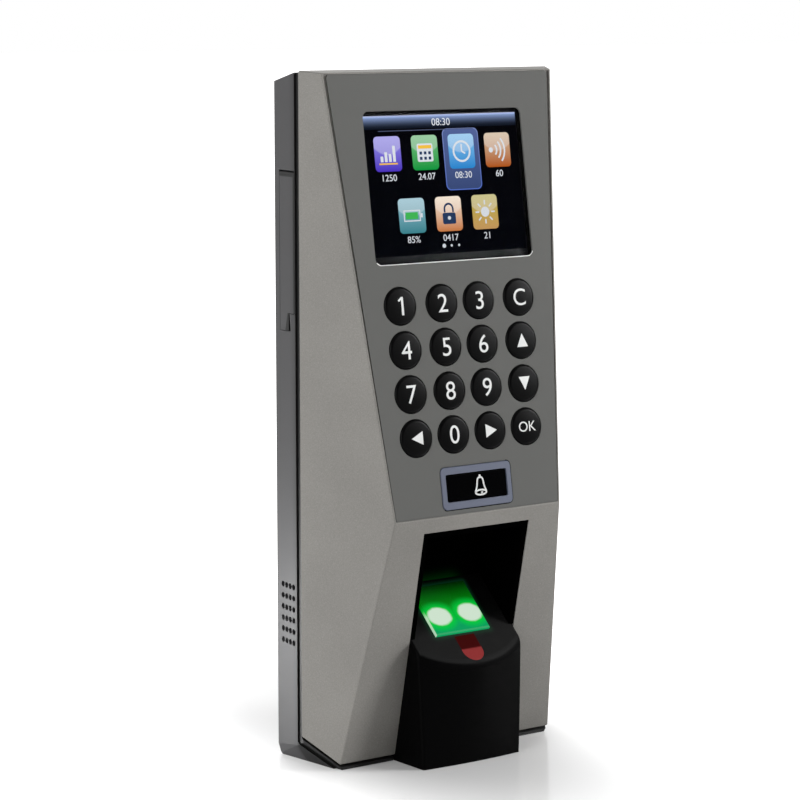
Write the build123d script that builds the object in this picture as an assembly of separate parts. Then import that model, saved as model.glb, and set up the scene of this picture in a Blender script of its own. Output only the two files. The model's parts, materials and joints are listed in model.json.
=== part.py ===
"""Wall terminal with a fingerprint sensor, a colour display, sixteen keys and a bell button.

The terminal is modelled from two datums: Y 0 is the rear edge of the front cover and Z 0 is the
cover's lower front edge, with X to the terminal's right, Y back to the wall and Z up. Every
sub-part is then moved so that the origin is the middle of the wall plate's hole pattern, on the
plate's back face. All sizes are millimetres.
"""

from build123d import *
import math
import os

# ---------------------------------------------------------------- outline of the terminal
width = 80.0
height = 183.0
side_slope = 0.53  # how far each side closes in for each millimetre forward
top_y, top_drop = -6.0, 0.5  # front edge of the top, and how far it lies below the height
ridge_y, ridge_z = -24.9, 66.8  # ridge where the upper face meets the lower face
foot_y = -10.3  # lower front edge of the cover
side_foot_z = 6.2  # lower end of the cover's rear edge
cover_wall = 2.5
cover_floor = 1.6
edge_round = 0.5

# ---------------------------------------------------------------- casing behind the cover
casing_depth = 13.0
casing_wall = 2.0
casing_drop = 1.4  # depth of the casing's floor below the cover
casing_top_slope = 0.238  # fall of the casing's top for each millimetre back
casing_draft = 0.4  # how far each side closes in over the casing's depth
casing_round = 0.8
facet_high_z, facet_rear_inset = 2.0, 1.16  # facets at the casing's lower corners
facet_side_run, facet_side_z = 11.8, 4.0  # where they meet the sides, measured from the casing's back
facet_front_y, facet_front_inset = -8.0, 5.3
rim_y = 2.2  # front end of the casing's outer wall
tongue_y = 0.7  # front end of the stepped tongue, which leaves a shadow gap
tongue_step = 0.5
under_gap, under_tongue = 0.7, 2.6  # gap and tongue below the cover's sloping underside
back_inner_y = 10.1

# ---------------------------------------------------------------- face plate, display and lens
plate_thickness = 0.5
plate_land = 0.4
groove_top, groove_bottom = 0.9, 0.2  # width of the groove along each side of the plate
plate_corner = 1.0
window_width, window_height, window_corner = 50.8, 40.0, 1.8
window_over_keys = 30.85  # from the middle of the top row of keys to the middle of the window
lens_margin, lens_thickness = 1.0, 0.8
gasket_thickness = 0.3
panel_width, panel_height, panel_thickness = 58.0, 43.0, 2.4
frame_thickness, frame_rail = 1.0, 5.0
display_boss_x, display_boss_span = 30.7, 24.0
display_boss_radius = 1.7

# ---------------------------------------------------------------- keys and bell button
key_radius, key_rise, key_dome, key_edge = 5.0, 0.5, 0.15, 0.8
key_travel = 0.8
key_clearance = 0.12
key_rows = 4
key_pitch = 11.55
lowest_row_s = 21.5
inner_column_x, outer_column_x, column_lean = 5.96, 17.87, 0.417
key_names = (
    ("key_left", "key_0", "key_right", "key_ok"),
    ("key_7", "key_8", "key_9", "key_down"),
    ("key_4", "key_5", "key_6", "key_up"),
    ("key_1", "key_2", "key_3", "key_clear"),
)
flange_radius, flange_thickness = 5.6, 0.55
pill_radius = 3.0
contact_radius, contact_thickness = 2.6, 0.08
bell_s = 7.45
bezel_width, bezel_height, bezel_corner, bezel_rise = 22.6, 11.24, 1.3, 0.3
bell_width, bell_height, bell_corner = 19.5, 7.1, 0.4
bell_sink = 0.05
bell_flange = 0.75  # how far the bell button's flange reaches past its cap
sleeve_wall = 0.75

# ---------------------------------------------------------------- boards
board_thickness = 1.6
mat_thickness = 1.0
keypad_board_width, keypad_board_low_s, keypad_board_over_keys = 52.0, 1.5, 7.35
main_board_y, main_board_width = 4.8, 58.0
main_board_low_z, main_board_high_z = 16.0, height - 13.0
coin_x, coin_z = 17.0, 111.5
buzzer_x, buzzer_z = 16.0, 90.0
screw_radius, screw_head_radius, screw_head_height = 1.0, 1.9, 1.4
screw_gap = 0.05  # radial gap between a screw and its hole

# ---------------------------------------------------------------- finger bay and sensor
bay_half_width, bay_top_z = 17.1, 63.05
bay_gap = 0.1
bay_wall = 1.5
bay_back_y = -2.0
crest_y, crest_z = -21.0, 30.2  # edge between the sensor's slope and its front face
toe_y = -22.2
sensor_slope = 40.0
sensor_taper = 1.1  # how far each side closes in towards the toe
side_round = 0.9
toe_bow, crest_bow, crest_round = 0.9, 4.8, 3.0  # how far the front bows forward, and the rounding of its crest
sensor_wall, slope_wall = 1.8, 3.0
glass_width, glass_length, glass_low_u = 17.6, 16.4, 4.4
glass_thickness, glass_proud = 2.5, 0.9
glass_gap = 0.1
prism_length, prism_half_width = 14.0, 7.5
marker_half_width, marker_low_u, marker_high_u, marker_thickness = 3.2, -4.9, 3.6, 0.5
liner_flange_edge, liner_flange_low_z, liner_flange_high_z = 2.5, 3.0, bay_top_z + 1.35
sensor_post_out, sensor_post_z = 3.4, (20.0, 55.0)  # how far the posts stand outside the bay
sensor_rib_in, sensor_rib_width, sensor_board_z = 3.5, 3.2, 8.0  # how far the ribs stand inside the bay
camera_half_width, lamp_shift = 4.5, 0.25  # the lamps stand midway between camera and wall, shifted to the camera

# ---------------------------------------------------------------- side ports, vents and wall plate
flap_y, flap_z = (2.6, 10.0), (height - 68.0, height - 26.0)
flap_step_y, flap_step_z = 5.6, height - 63.3  # the flap's lower end is a narrow tab
flap_thickness, flap_gap = 1.2, 0.15
hinge_inset, hinge_radius, hinge_pin_radius, hinge_pin_length = 1.0, 0.9, 0.45, 0.8
usb_z, usb_y, usb_mouth = height - 41.0, 6.3, (13.1, 5.7)
usb_depth, usb_shell = 14.0, 0.4
reset_z, reset_y, reset_radius, reset_travel = height - 56.0, 8.1, 1.3, 0.5
vent_radius, vent_pitch_y, vent_pitch_z = 0.8, 1.85, 3.04
speaker_y, speaker_foam = (2.6, 9.9), 0.6
vent_first_y, vent_first_z, vent_columns, vent_rows = 3.9, 31.27, 4, 6
wall_plate_thickness, wall_plate_proud = 1.2, 0.3
wall_plate_half_width, wall_plate_z = 29.0, (12.0, height - 15.0)
mount_z, mount_half_x, mount_half_z, mount_hole_radius = height / 2 - 1.5, 18.0, height / 2 - 36.5, 2.3
pocket_radius, pocket_wall, pocket_y = 4.8, 1.2, 8.6  # room for the heads of the wall screws
cable_half_width, cable_z = 19.0, (mount_z - 24.0, mount_z + 24.0)
tamper_z, tamper_radius, tamper_travel = height - 55.0, 1.8, 1.2
hook_x, hook_z, hook_half_width, hook_rise = 24.5, (50.0, height - 25.0), 3.0, 3.2
casing_screw_x, casing_screw_z = 33.5, (12.0, height - 11.0)
standoff_x, standoff_z = 27.0, (22.0, mount_z, height - 17.0)

# ---------------------------------------------------------------- values worked out from the sizes
half_width = width / 2
top_z = height - top_drop
lean = math.degrees(math.atan2(top_y - ridge_y, top_z - ridge_z))
face_length = math.hypot(top_y - ridge_y, top_z - ridge_z)
plate_y = casing_depth + wall_plate_proud  # back face of the wall plate
recess_y = plate_y - wall_plate_thickness  # where the plate's front lies in the casing
cover_outline = [(0.0, height), (top_y, top_z), (ridge_y, ridge_z), (foot_y, 0.0), (0.0, side_foot_z)]
lens_front = plate_thickness
gasket_front = lens_front + lens_thickness
panel_front = gasket_front + gasket_thickness
panel_back = panel_front + panel_thickness
flange_front = cover_wall + 0.05
flange_back = flange_front + flange_thickness
mat_front = flange_back + key_travel + 0.1
pill_back = mat_front + 0.1
keypad_board_front = mat_front + mat_thickness
keypad_board_back = keypad_board_front + board_thickness
glass_high_u = glass_low_u + glass_length
main_board_back_y = main_board_y + board_thickness
top_row_s = lowest_row_s + (key_rows - 1) * key_pitch
window_s = top_row_s + window_over_keys
keypad_board_high_s = top_row_s + keypad_board_over_keys
sensor_post_x = bay_half_width + sensor_post_out
sensor_rib_x = bay_half_width - sensor_rib_in
liner_flange_half_width = sensor_post_x + liner_flange_edge
lamp_x = (camera_half_width + bay_half_width - bay_gap - sensor_wall) / 2 - lamp_shift

FACE = Plane(
    origin=(0, ridge_y, ridge_z),
    x_dir=(1, 0, 0),
    z_dir=(0, -math.cos(math.radians(lean)), math.sin(math.radians(lean))),
)
SLOPE = Plane(
    origin=(0, crest_y, crest_z),
    x_dir=(1, 0, 0),
    z_dir=(0, -math.sin(math.radians(sensor_slope)), math.cos(math.radians(sensor_slope))),
)


# ---------------------------------------------------------------- helpers
def on_face(shape, x=0.0, s=0.0, depth=0.0):
    """Puts a shape at X, a distance up the face from the ridge, and a depth behind the face."""
    return FACE.location * Pos(x, s, -depth) * shape


def on_slope(shape, x=0.0, u=0.0, v=0.0):
    """Puts a shape on the sensor's slope: u up the slope from the crest, v out of it."""
    return SLOPE.location * Pos(x, u, v) * shape


def block(x, y, z):
    """A box between two values along each axis."""
    corner = (min(x), min(y), min(z))
    size = (max(x) - min(x), max(y) - min(y), max(z) - min(z))
    return Pos(*corner) * Box(*size, align=(Align.MIN, Align.MIN, Align.MIN))


def slab(across, up, front, back, corner=0.0):
    """A plate for the face, centred in its plane, between two depths behind the face."""
    outline = RectangleRounded(across, up, corner) if corner else Rectangle(across, up)
    return Pos(0, 0, -back) * extrude(outline, back - front)


def disc(radius, front, back):
    """A round plate for the face between two depths behind the face."""
    return Pos(0, 0, -back) * extrude(Circle(radius), back - front)


def along_y(radius, x, z, y):
    """A cylinder along Y between two values of Y."""
    low, high = min(y), max(y)
    return Pos(x, (low + high) / 2, z) * Rot(90, 0, 0) * Cylinder(radius, high - low)


def along_x(radius, y, z, x):
    """A cylinder along X between two values of X."""
    low, high = min(x), max(x)
    return Pos((low + high) / 2, y, z) * Rot(0, 90, 0) * Cylinder(radius, high - low)


def prism_yz(points, x):
    """A closed (y, z) outline swept between two values of X."""
    low, high = min(x), max(x)
    outline = make_face(Polyline(*points, close=True))
    return Pos(low, 0, 0) * (Plane.YZ.location * extrude(outline, high - low))


def both_sides(shape):
    """The shape together with its mirror image across the middle plane."""
    return shape + mirror(shape, about=Plane.YZ)


def inset(points, distances):
    """Moves each edge of a closed outline inwards; edge i runs from point i to the next one."""
    following = points[1:] + points[:1]
    area = sum(a[0] * b[1] - b[0] * a[1] for a, b in zip(points, following))
    turn = 1 if area > 0 else -1
    lines = []
    for (ay, az), (by, bz), distance in zip(points, following, distances):
        length = math.hypot(by - ay, bz - az)
        ny, nz = -(bz - az) / length * turn, (by - ay) / length * turn
        lines.append((ny, nz, ny * ay + nz * az + distance))
    corners = []
    for (a1, b1, c1), (a2, b2, c2) in zip(lines[-1:] + lines[:-1], lines):
        det = a1 * b2 - a2 * b1
        corners.append(((c1 * b2 - c2 * b1) / det, (a1 * c2 - a2 * c1) / det))
    return corners


def beyond(a, b, c):
    """The space on one side of the plane through three points, as a large box."""
    normal = (Vector(*b) - Vector(*a)).cross(Vector(*c) - Vector(*a))
    size = 3 * width
    seat = Plane(origin=a, z_dir=normal)
    return seat.location * Pos(0, 0, size / 2) * Box(size, size, size)


def plan(inset_by, low_z=-20.0, high_z=height + 20.0):
    """The terminal's plan, drawn in from its sides, as a column."""
    slant = inset_by / math.cos(math.atan(side_slope))
    reach = 40.0
    corner_y = (slant - inset_by) / side_slope
    rear = (half_width - casing_draft - inset_by, casing_depth + 2.0)
    middle = (half_width - inset_by, corner_y)
    front = (half_width - slant - side_slope * reach, -reach)
    right = [rear, middle, front]
    left = [(-x, y) for x, y in reversed(right)]
    outline = make_face(Polyline(*right, *left, close=True))
    return Pos(0, 0, low_z) * extrude(outline, high_z - low_z)


def cover_volume(by, floor=None, rear=0.0):
    """The front cover's outer volume, drawn in by a distance; a negative rear opens the back."""
    floor = by if floor is None else floor
    points = inset(cover_outline, [by, by, by, floor, rear])
    return prism_yz(points, (-half_width, half_width)) & plan(by)


def underside_z(y, offset):
    """Height of a line a given distance below the cover's sloping underside."""
    rise = side_foot_z / -foot_y
    return side_foot_z + rise * y - offset * math.hypot(1, rise)


def casing_top_z(y):
    """Height of the casing's sloping top."""
    return height - casing_top_slope * y


def casing_half_width(y):
    """Half the casing's outer width at a value of Y behind the parting edge."""
    return half_width - casing_draft * y / (casing_depth + 2.0)


def key_places():
    """Yields each key's name, X and distance up the face."""
    for row, names in enumerate(key_names):
        outer = outer_column_x + column_lean * row
        for name, x in zip(names, (-outer, -inner_column_x, inner_column_x, outer)):
            yield name, x, lowest_row_s + key_pitch * row


def keypad_bosses():
    """Yields the places of the screws that hold the keypad board."""
    for side in (-1, 1):
        for row in (0.5, 2.5):
            yield side * (inner_column_x + outer_column_x + column_lean) / 2, lowest_row_s + key_pitch * row


def display_bosses():
    """Yields the places of the screws that hold the display frame."""
    for side in (-1, 1):
        for span in (-0.5, 0.5):
            yield side * display_boss_x, window_s + span * display_boss_span


def slope_z(y, lift=0.0):
    """Height of the sensor's slope at a value of Y, or of a plane above it."""
    angle = math.radians(sensor_slope)
    return crest_z + (y - crest_y) * math.tan(angle) + lift / math.cos(angle)


def face_half_width(s):
    """Half the width of the upper face, between its creases."""
    y = ridge_y + (top_y - ridge_y) * s / face_length
    return half_width + side_slope * y


# ---------------------------------------------------------------- shells
def plate_outline(side_low, side_high, end):
    """The face's trapezoid, drawn in at its sides and ends."""
    low_s, high_s = end, face_length - end
    low_x = face_half_width(low_s) - side_low
    high_x = face_half_width(high_s) - side_high
    return Polyline((-low_x, low_s), (low_x, low_s), (high_x, high_s), (-high_x, high_s), close=True)


def face_plate():
    """Thin trim plate over the upper face, with the window, key and bezel holes."""
    gap = 0.1
    outline = make_face(plate_outline(plate_land + groove_bottom, plate_land + groove_top, plate_land + gap))
    outline = fillet(outline.vertices().sort_by(Axis.Y)[-2:], plate_corner)
    outline -= Pos(0, window_s) * RectangleRounded(window_width, window_height, window_corner)
    outline -= Pos(0, bell_s) * RectangleRounded(
        bezel_width + 2 * key_clearance, bezel_height + 2 * key_clearance, bezel_corner + key_clearance
    )
    for _, x, s in key_places():
        outline -= Pos(x, s) * Circle(key_radius + key_clearance)
    return FACE.location * Pos(0, 0, -plate_thickness) * extrude(outline, plate_thickness)


def front_cover():
    """Wedge-shaped cover: a shell with openings for everything that shows at the front."""
    outer = cover_volume(0)
    sharp = outer.edges().filter_by(lambda e: e.center().Y < -1.0)
    outer = fillet(sharp, edge_round)
    body = outer - cover_volume(cover_wall, cover_floor, rear=-5.0)
    rebate = extrude(make_face(plate_outline(plate_land, plate_land, plate_land)), 2 * plate_thickness)
    body -= FACE.location * Pos(0, 0, -plate_thickness) * rebate
    lens_gap = 0.1
    lens_across = window_width + 2 * (lens_margin + lens_gap)
    lens_up = window_height + 2 * (lens_margin + lens_gap)
    body -= on_face(slab(lens_across, lens_up, 0, 2 * cover_wall), s=window_s)
    pocket = slab(panel_width + 0.4, panel_height + 0.4, panel_front, 2 * cover_wall)
    body -= on_face(pocket, s=window_s)
    for x, s in display_bosses():
        body += on_face(disc(display_boss_radius, cover_wall - 0.5, panel_back), x, s)
        body -= on_face(disc(screw_radius + screw_gap, cover_wall - 0.9, panel_back + 1), x, s)
    for x, s in keypad_bosses():
        body += on_face(disc(2.2, cover_wall - 0.5, keypad_board_front), x, s)
        body -= on_face(disc(screw_radius + screw_gap, cover_wall - 0.9, keypad_board_front + 1), x, s)
    for _, x, s in key_places():
        body -= on_face(disc(key_radius + key_clearance, -1, 2 * cover_wall), x, s)
    sleeve_across = bell_width + 2 * (key_clearance + sleeve_wall) + 0.2
    sleeve_up = bell_height + 2 * (key_clearance + sleeve_wall) + 0.2
    body -= on_face(slab(sleeve_across, sleeve_up, -1, 2 * cover_wall), s=bell_s)
    body -= block((-bay_half_width, bay_half_width), (-40, 5), (-5, bay_top_z))
    inside = cover_volume(1.0)
    for x in (-sensor_post_x, sensor_post_x):
        for z in sensor_post_z:
            body += along_y(2.2, x, z, (-40, bay_back_y)) & inside
            body -= along_y(screw_radius + screw_gap, x, z, (bay_back_y - 6, bay_back_y + 1))
    for x in (-casing_screw_x, casing_screw_x):
        for z in casing_screw_z:
            body += along_y(2.4, x, z, (-6.5, 0)) & inside
            body -= along_y(1.25, x, z, (-5.0, 1))
    return body


def lower_corners(by=0.0):
    """What the two facets at each lower corner of the casing cut away, moved inwards by a distance."""
    shift = Vector(by, 0, by * 0.6)
    rear_high = Vector(-half_width + 0.25, casing_depth, facet_high_z) + shift
    rear_low = Vector(-half_width + facet_rear_inset, casing_depth, 0.3 - casing_drop) + shift
    side = Vector(-half_width, casing_depth - facet_side_run, facet_side_z) + shift
    front_low = Vector(-half_width + facet_front_inset, facet_front_y, -casing_drop) + shift
    cut = beyond(tuple(side), tuple(rear_high), tuple(rear_low)) + beyond(tuple(side), tuple(rear_low), tuple(front_low))
    return both_sides(cut)


def casing_outer():
    """The casing's outer volume with its sloping top and the facets at its lower corners."""
    points = [
        (casing_depth, -casing_drop),
        (casing_depth, casing_top_z(casing_depth)),
        (rim_y, casing_top_z(rim_y)),
        (rim_y, underside_z(rim_y, under_tongue)),
        (-(underside_z(0, under_tongue) + casing_drop) / (side_foot_z / -foot_y), -casing_drop),
    ]
    body = prism_yz(points, (-half_width, half_width)) & plan(0)
    body -= lower_corners()
    rear_edges = body.edges().filter_by(lambda e: abs(e.center().Y - casing_depth) < 1e-3)
    return fillet(rear_edges, casing_round)


def casing_tongue():
    """The inset tongue round the casing's mouth, with the tray that runs under the cover."""
    deep = rim_y + 1.5
    front = foot_y + 0.4
    points = [
        (deep, -casing_drop),
        (deep, casing_top_z(deep) - tongue_step),
        (tongue_y, casing_top_z(tongue_y) - tongue_step),
        (tongue_y, underside_z(tongue_y, under_gap)),
        (front, underside_z(front, under_gap)),
        (front, -casing_drop),
    ]
    return (prism_yz(points, (-half_width, half_width)) & plan(tongue_step)) - lower_corners(tongue_step)


def flap_outline(gap):
    """The port flap's L-shaped outline in (y, z), grown by a gap; it ends at the hinge's axis."""
    (low_y, high_y), low_z, top = flap_y, flap_z[0], hinge_axis()[1]
    return [
        (low_y - gap, top),
        (low_y - gap, flap_step_z - gap),
        (flap_step_y - gap, flap_step_z - gap),
        (flap_step_y - gap, low_z - gap),
        (high_y + gap, low_z - gap),
        (high_y + gap, top),
    ]


def hinge_axis():
    """X and Z of the flap's hinge axis."""
    return -half_width + hinge_inset, flap_z[1] - hinge_inset


def back_casing():
    """Shallow rear casing: a tray with a stepped rim, board standoffs and wall-plate recess."""
    body = casing_outer() + casing_tongue()
    hollow = [
        (back_inner_y, casing_wall - casing_drop),
        (back_inner_y, casing_top_z(back_inner_y) - casing_wall),
        (-30.0, casing_top_z(tongue_y) - casing_wall - tongue_step),
        (-30.0, casing_wall - casing_drop),
    ]
    body -= (prism_yz(hollow, (-half_width, half_width)) & plan(casing_wall)) - lower_corners(casing_wall)
    body -= block((-bay_half_width, bay_half_width), (-40, bay_back_y + 0.2), (-10, 40))
    inside = plan(1.0)

    # recess for the wall plate, the cable opening and the pockets over its screw heads
    low, high = wall_plate_z
    reach = wall_plate_half_width + 0.3
    body -= block((-reach, reach), (recess_y, casing_depth + 1), (low - 0.3, high + 0.3))
    for x in (-mount_half_x, mount_half_x):
        for z in (mount_z - mount_half_z, mount_z + mount_half_z):
            body += along_y(pocket_radius + pocket_wall, x, z, (pocket_y - pocket_wall, recess_y - 0.5))
            body -= along_y(pocket_radius, x, z, (pocket_y, casing_depth + 1))
    body -= block((-cable_half_width, cable_half_width), (0, casing_depth + 1), cable_z)

    # hook slots, the slot for the plate's tab and the hole for the lock screw
    for x in (-hook_x, hook_x):
        for z in hook_z:
            slot_x = (x - hook_half_width - 0.3, x + hook_half_width + 0.3)
            body -= block(slot_x, (back_inner_y - 1, casing_depth), (z - hook_rise - 0.4, z + wall_plate_thickness + 0.1))
    body -= block((-6.3, 6.3), (back_inner_y - 1, casing_depth), (low - 0.3, low + wall_plate_thickness + 0.2))
    body += Pos(0, lock_y(), 0) * extrude(Circle(4.2), 3.0) & block((-10, 10), (0, back_inner_y), (-1, 5))
    body -= Pos(0, lock_y(), -casing_drop) * extrude(Circle(3.0), 2.4)
    body -= Pos(0, lock_y(), -casing_drop) * extrude(Circle(1.5 + screw_gap), 8)

    # tamper hole, board standoffs and the bosses for the screws from the back
    body -= along_y(tamper_radius + 0.1, 0, tamper_z, (5, casing_depth + 1))
    for x in (-standoff_x, standoff_x):
        for z in standoff_z:
            body += along_y(2.6, x, z, (main_board_back_y, back_inner_y + 0.5))
            body -= along_y(screw_radius + screw_gap, x, z, (main_board_y, back_inner_y))
    for x in (-casing_screw_x, casing_screw_x):
        for z in casing_screw_z:
            body += along_y(3.6, x, z, (0, back_inner_y + 0.5)) & inside
            body -= along_y(2.5, x, z, (9.0, casing_depth + 1))
            body -= along_y(1.2 + screw_gap, x, z, (0, casing_depth))

    # flap pocket with its hinge, the openings behind it, the nail slot and the vents
    hinge_x, hinge_z = hinge_axis()
    pocket = prism_yz(flap_outline(flap_gap), (-half_width - 1, -half_width + flap_thickness + 0.1))
    barrel_y = (flap_y[0] - flap_gap, flap_y[1] + flap_gap)
    barrel = Pos(hinge_x, sum(barrel_y) / 2, hinge_z) * Rot(90, 0, 0) * Cylinder(
        hinge_radius + 0.1, barrel_y[1] - barrel_y[0]
    )
    mouth = block((-half_width - 1, hinge_x), barrel_y, (hinge_z - 1, hinge_z + hinge_inset + 0.1))
    lug_x = (-half_width + casing_wall - 0.5, hinge_x + hinge_radius + 1.3)
    body += block(lug_x, (tongue_y + 0.5, back_inner_y + 0.5), (hinge_z - 2.2, hinge_z + 2.2))
    body -= pocket + barrel + mouth
    pin_y = (flap_y[0] - hinge_pin_length - 0.1, flap_y[1] + hinge_pin_length + 0.1)
    body -= Pos(hinge_x, sum(pin_y) / 2, hinge_z) * Rot(90, 0, 0) * Cylinder(
        hinge_pin_radius + 0.06, pin_y[1] - pin_y[0]
    )
    half_mouth_z, half_mouth_y = usb_mouth[0] / 2 + 0.2, usb_mouth[1] / 2 + 0.2
    body -= block(
        (-half_width - 1, -half_width + 4),
        (usb_y - half_mouth_y, usb_y + half_mouth_y),
        (usb_z - half_mouth_z, usb_z + half_mouth_z),
    )
    body -= along_x(reset_radius + 0.1, reset_y, reset_z, (-half_width - 1, -half_width + 4))
    slot_y = flap_step_y - flap_gap
    slot = [(slot_y, flap_step_z), (slot_y - 0.3, flap_step_z), (slot_y - 0.8, flap_z[0]), (slot_y, flap_z[0])]
    body -= prism_yz(slot, (-half_width - 1, -half_width + flap_thickness))
    for column in range(vent_columns):
        for row in range(vent_rows):
            y = vent_first_y + vent_pitch_y * column
            z = vent_first_z + vent_pitch_z * row
            body -= along_x(vent_radius, y, z, (-half_width - 1, -half_width + casing_wall + 1))
    return body


def lock_y():
    """Y of the lock screw, which passes up through the casing's floor."""
    return 6.0


# ---------------------------------------------------------------- display
def display_lens():
    """Clear window behind the face plate."""
    across, up = window_width + 2 * lens_margin, window_height + 2 * lens_margin
    return on_face(slab(across, up, lens_front, gasket_front), s=window_s)


def display_gasket():
    """Foam frame between the lens and the display panel."""
    across, up = window_width + 2 * lens_margin, window_height + 2 * lens_margin
    ring = slab(across, up, gasket_front, panel_front) - slab(across - 3, up - 3, 0, 2 * panel_front)
    return on_face(ring, s=window_s)


def display_panel():
    """Colour display panel with its metal rear tray."""
    return on_face(slab(panel_width, panel_height, panel_front, panel_back, 0.6), s=window_s)


def display_frame():
    """Clamp frame behind the panel, with an ear at each screw."""
    outer = slab(panel_width + 3, panel_height + 1, panel_back, panel_back + frame_thickness, 1.0)
    inner = slab(panel_width - 2 * frame_rail, panel_height - 2 * frame_rail, 0, 2 * panel_back + 5, 1.5)
    frame = on_face(outer - inner, s=window_s)
    for x, s in display_bosses():
        frame += on_face(disc(display_boss_radius, panel_back, panel_back + frame_thickness), x, s)
    for x, s in display_bosses():
        frame -= on_face(disc(screw_radius + screw_gap, 0, panel_back + 5), x, s)
    return frame


# ---------------------------------------------------------------- keys and bell
def key_cap():
    """One key: a domed cap with a retaining flange and a contact pill under it."""
    shoulder = key_rise - key_edge
    inner = key_radius - key_edge
    bulge = key_edge * (1 - math.sqrt(0.5))
    profile = ThreePointArc((0, key_rise + key_dome), (inner / 2, key_rise + key_dome * 0.75), (inner, key_rise))
    profile += ThreePointArc((inner, key_rise), (key_radius - bulge, key_rise - bulge), (key_radius, shoulder))
    profile += Polyline(
        (key_radius, shoulder),
        (key_radius, -flange_front),
        (flange_radius, -flange_front),
        (flange_radius, -flange_back),
        (pill_radius, -flange_back),
        (pill_radius, -pill_back),
        (0, -pill_back),
        (0, key_rise + key_dome),
    )
    half = Plane.XZ * make_face(profile)
    return revolve(half, Axis.Z)


def bell_bezel():
    """Frame round the bell button, with a sleeve through the cover."""
    across, up = bell_width + 2 * key_clearance, bell_height + 2 * key_clearance
    rim = slab(bezel_width, bezel_height, -bezel_rise, plate_thickness, bezel_corner)
    rim = chamfer(rim.faces().sort_by(Axis.Z)[-1].edges(), 0.15)
    sleeve = slab(across + 2 * sleeve_wall, up + 2 * sleeve_wall, 0, cover_wall)
    hole = slab(across, up, -5, 2 * cover_wall, bell_corner + key_clearance)
    return on_face(rim + sleeve - hole, s=bell_s)


def bell_button():
    """Rectangular bell button with its flange and contact foot."""
    cap = slab(bell_width, bell_height, bell_sink, flange_front, bell_corner)
    cap = fillet(cap.faces().sort_by(Axis.Z)[-1].edges(), 0.25)
    flange = slab(bell_width + 2 * bell_flange, bell_height + 2 * bell_flange, flange_front, flange_back)
    foot = slab(10.0, 4.0, flange_back, pill_back)
    return on_face(cap + flange + foot, s=bell_s)


def keypad_mat():
    """Rubber mat on the keypad board, open round each key's pill."""
    middle_s = (keypad_board_low_s + keypad_board_high_s) / 2
    up = keypad_board_high_s - keypad_board_low_s - 2
    mat = on_face(slab(keypad_board_width - 2, up, mat_front, keypad_board_front, 1.5), s=middle_s)
    for _, x, s in key_places():
        mat -= on_face(disc(pill_radius + 1.4, 0, 10), x, s)
    for x, s in keypad_bosses():
        mat -= on_face(disc(2.5, 0, 10), x, s)
    mat -= on_face(slab(12.0, 6.0, 0, 10, 1.0), s=bell_s)
    return mat


def keypad_board():
    """Circuit board behind the keys."""
    middle_s = (keypad_board_low_s + keypad_board_high_s) / 2
    up = keypad_board_high_s - keypad_board_low_s
    board = on_face(slab(keypad_board_width, up, keypad_board_front, keypad_board_back, 1.0), s=middle_s)
    for x, s in keypad_bosses():
        board -= on_face(disc(screw_radius + screw_gap, 0, 20), x, s)
    return board


def key_contacts():
    """Gold contact pads on the keypad board, one under each pill."""
    front = keypad_board_front - contact_thickness
    pads = [on_face(disc(contact_radius, front, keypad_board_front), x, s) for _, x, s in key_places()]
    pads.append(on_face(slab(9.0, 3.6, front, keypad_board_front), s=bell_s))
    return Compound(children=pads)


def screw_into_face(x, s, seat):
    """A pan-head screw that enters from behind the face; its head sits at the seat depth."""
    head = disc(screw_head_radius, seat, seat + screw_head_height)
    shank = disc(screw_radius, cover_wall - 0.6, seat)
    recess = Pos(0, 0, -seat - screw_head_height) * (Box(1.8, 0.4, 1.2) + Box(0.4, 1.8, 1.2))
    return on_face(head + shank - recess, x, s)


def cover_screws():
    """The screws that hold the keypad board and the display frame inside the cover."""
    screws = [screw_into_face(x, s, keypad_board_back) for x, s in keypad_bosses()]
    screws += [screw_into_face(x, s, panel_back + frame_thickness) for x, s in display_bosses()]
    return Compound(children=screws)


def card_antenna():
    """Loop antenna board for proximity cards, behind the keypad board."""
    front, back = keypad_board_back + screw_head_height + 0.1, keypad_board_back + screw_head_height + 0.9
    middle_s = (keypad_board_low_s + keypad_board_high_s) / 2
    loop = slab(50.0, 58.0, front, back, 2.0) - slab(42.0, 50.0, 0, 20, 1.0)
    antenna = on_face(loop, s=middle_s)
    for x in (-23.0, 23.0):
        for up in (-27.0, 27.0):
            antenna += on_face(disc(1.5, keypad_board_back, back), x, middle_s + up)
    return antenna


# ---------------------------------------------------------------- sensor
def sensor_section(by, y, bow, z):
    """A level section of the sensor block, with its front bowed forward, drawn in by a distance."""
    reach, front = bay_half_width - bay_gap - by, y + by
    outline = Polyline((reach, front), (reach, 10.0), (-reach, 10.0), (-reach, front))
    outline += ThreePointArc((-reach, front), (0, front - bow), (reach, front))
    return Pos(0, 0, z) * make_face(outline)


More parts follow.
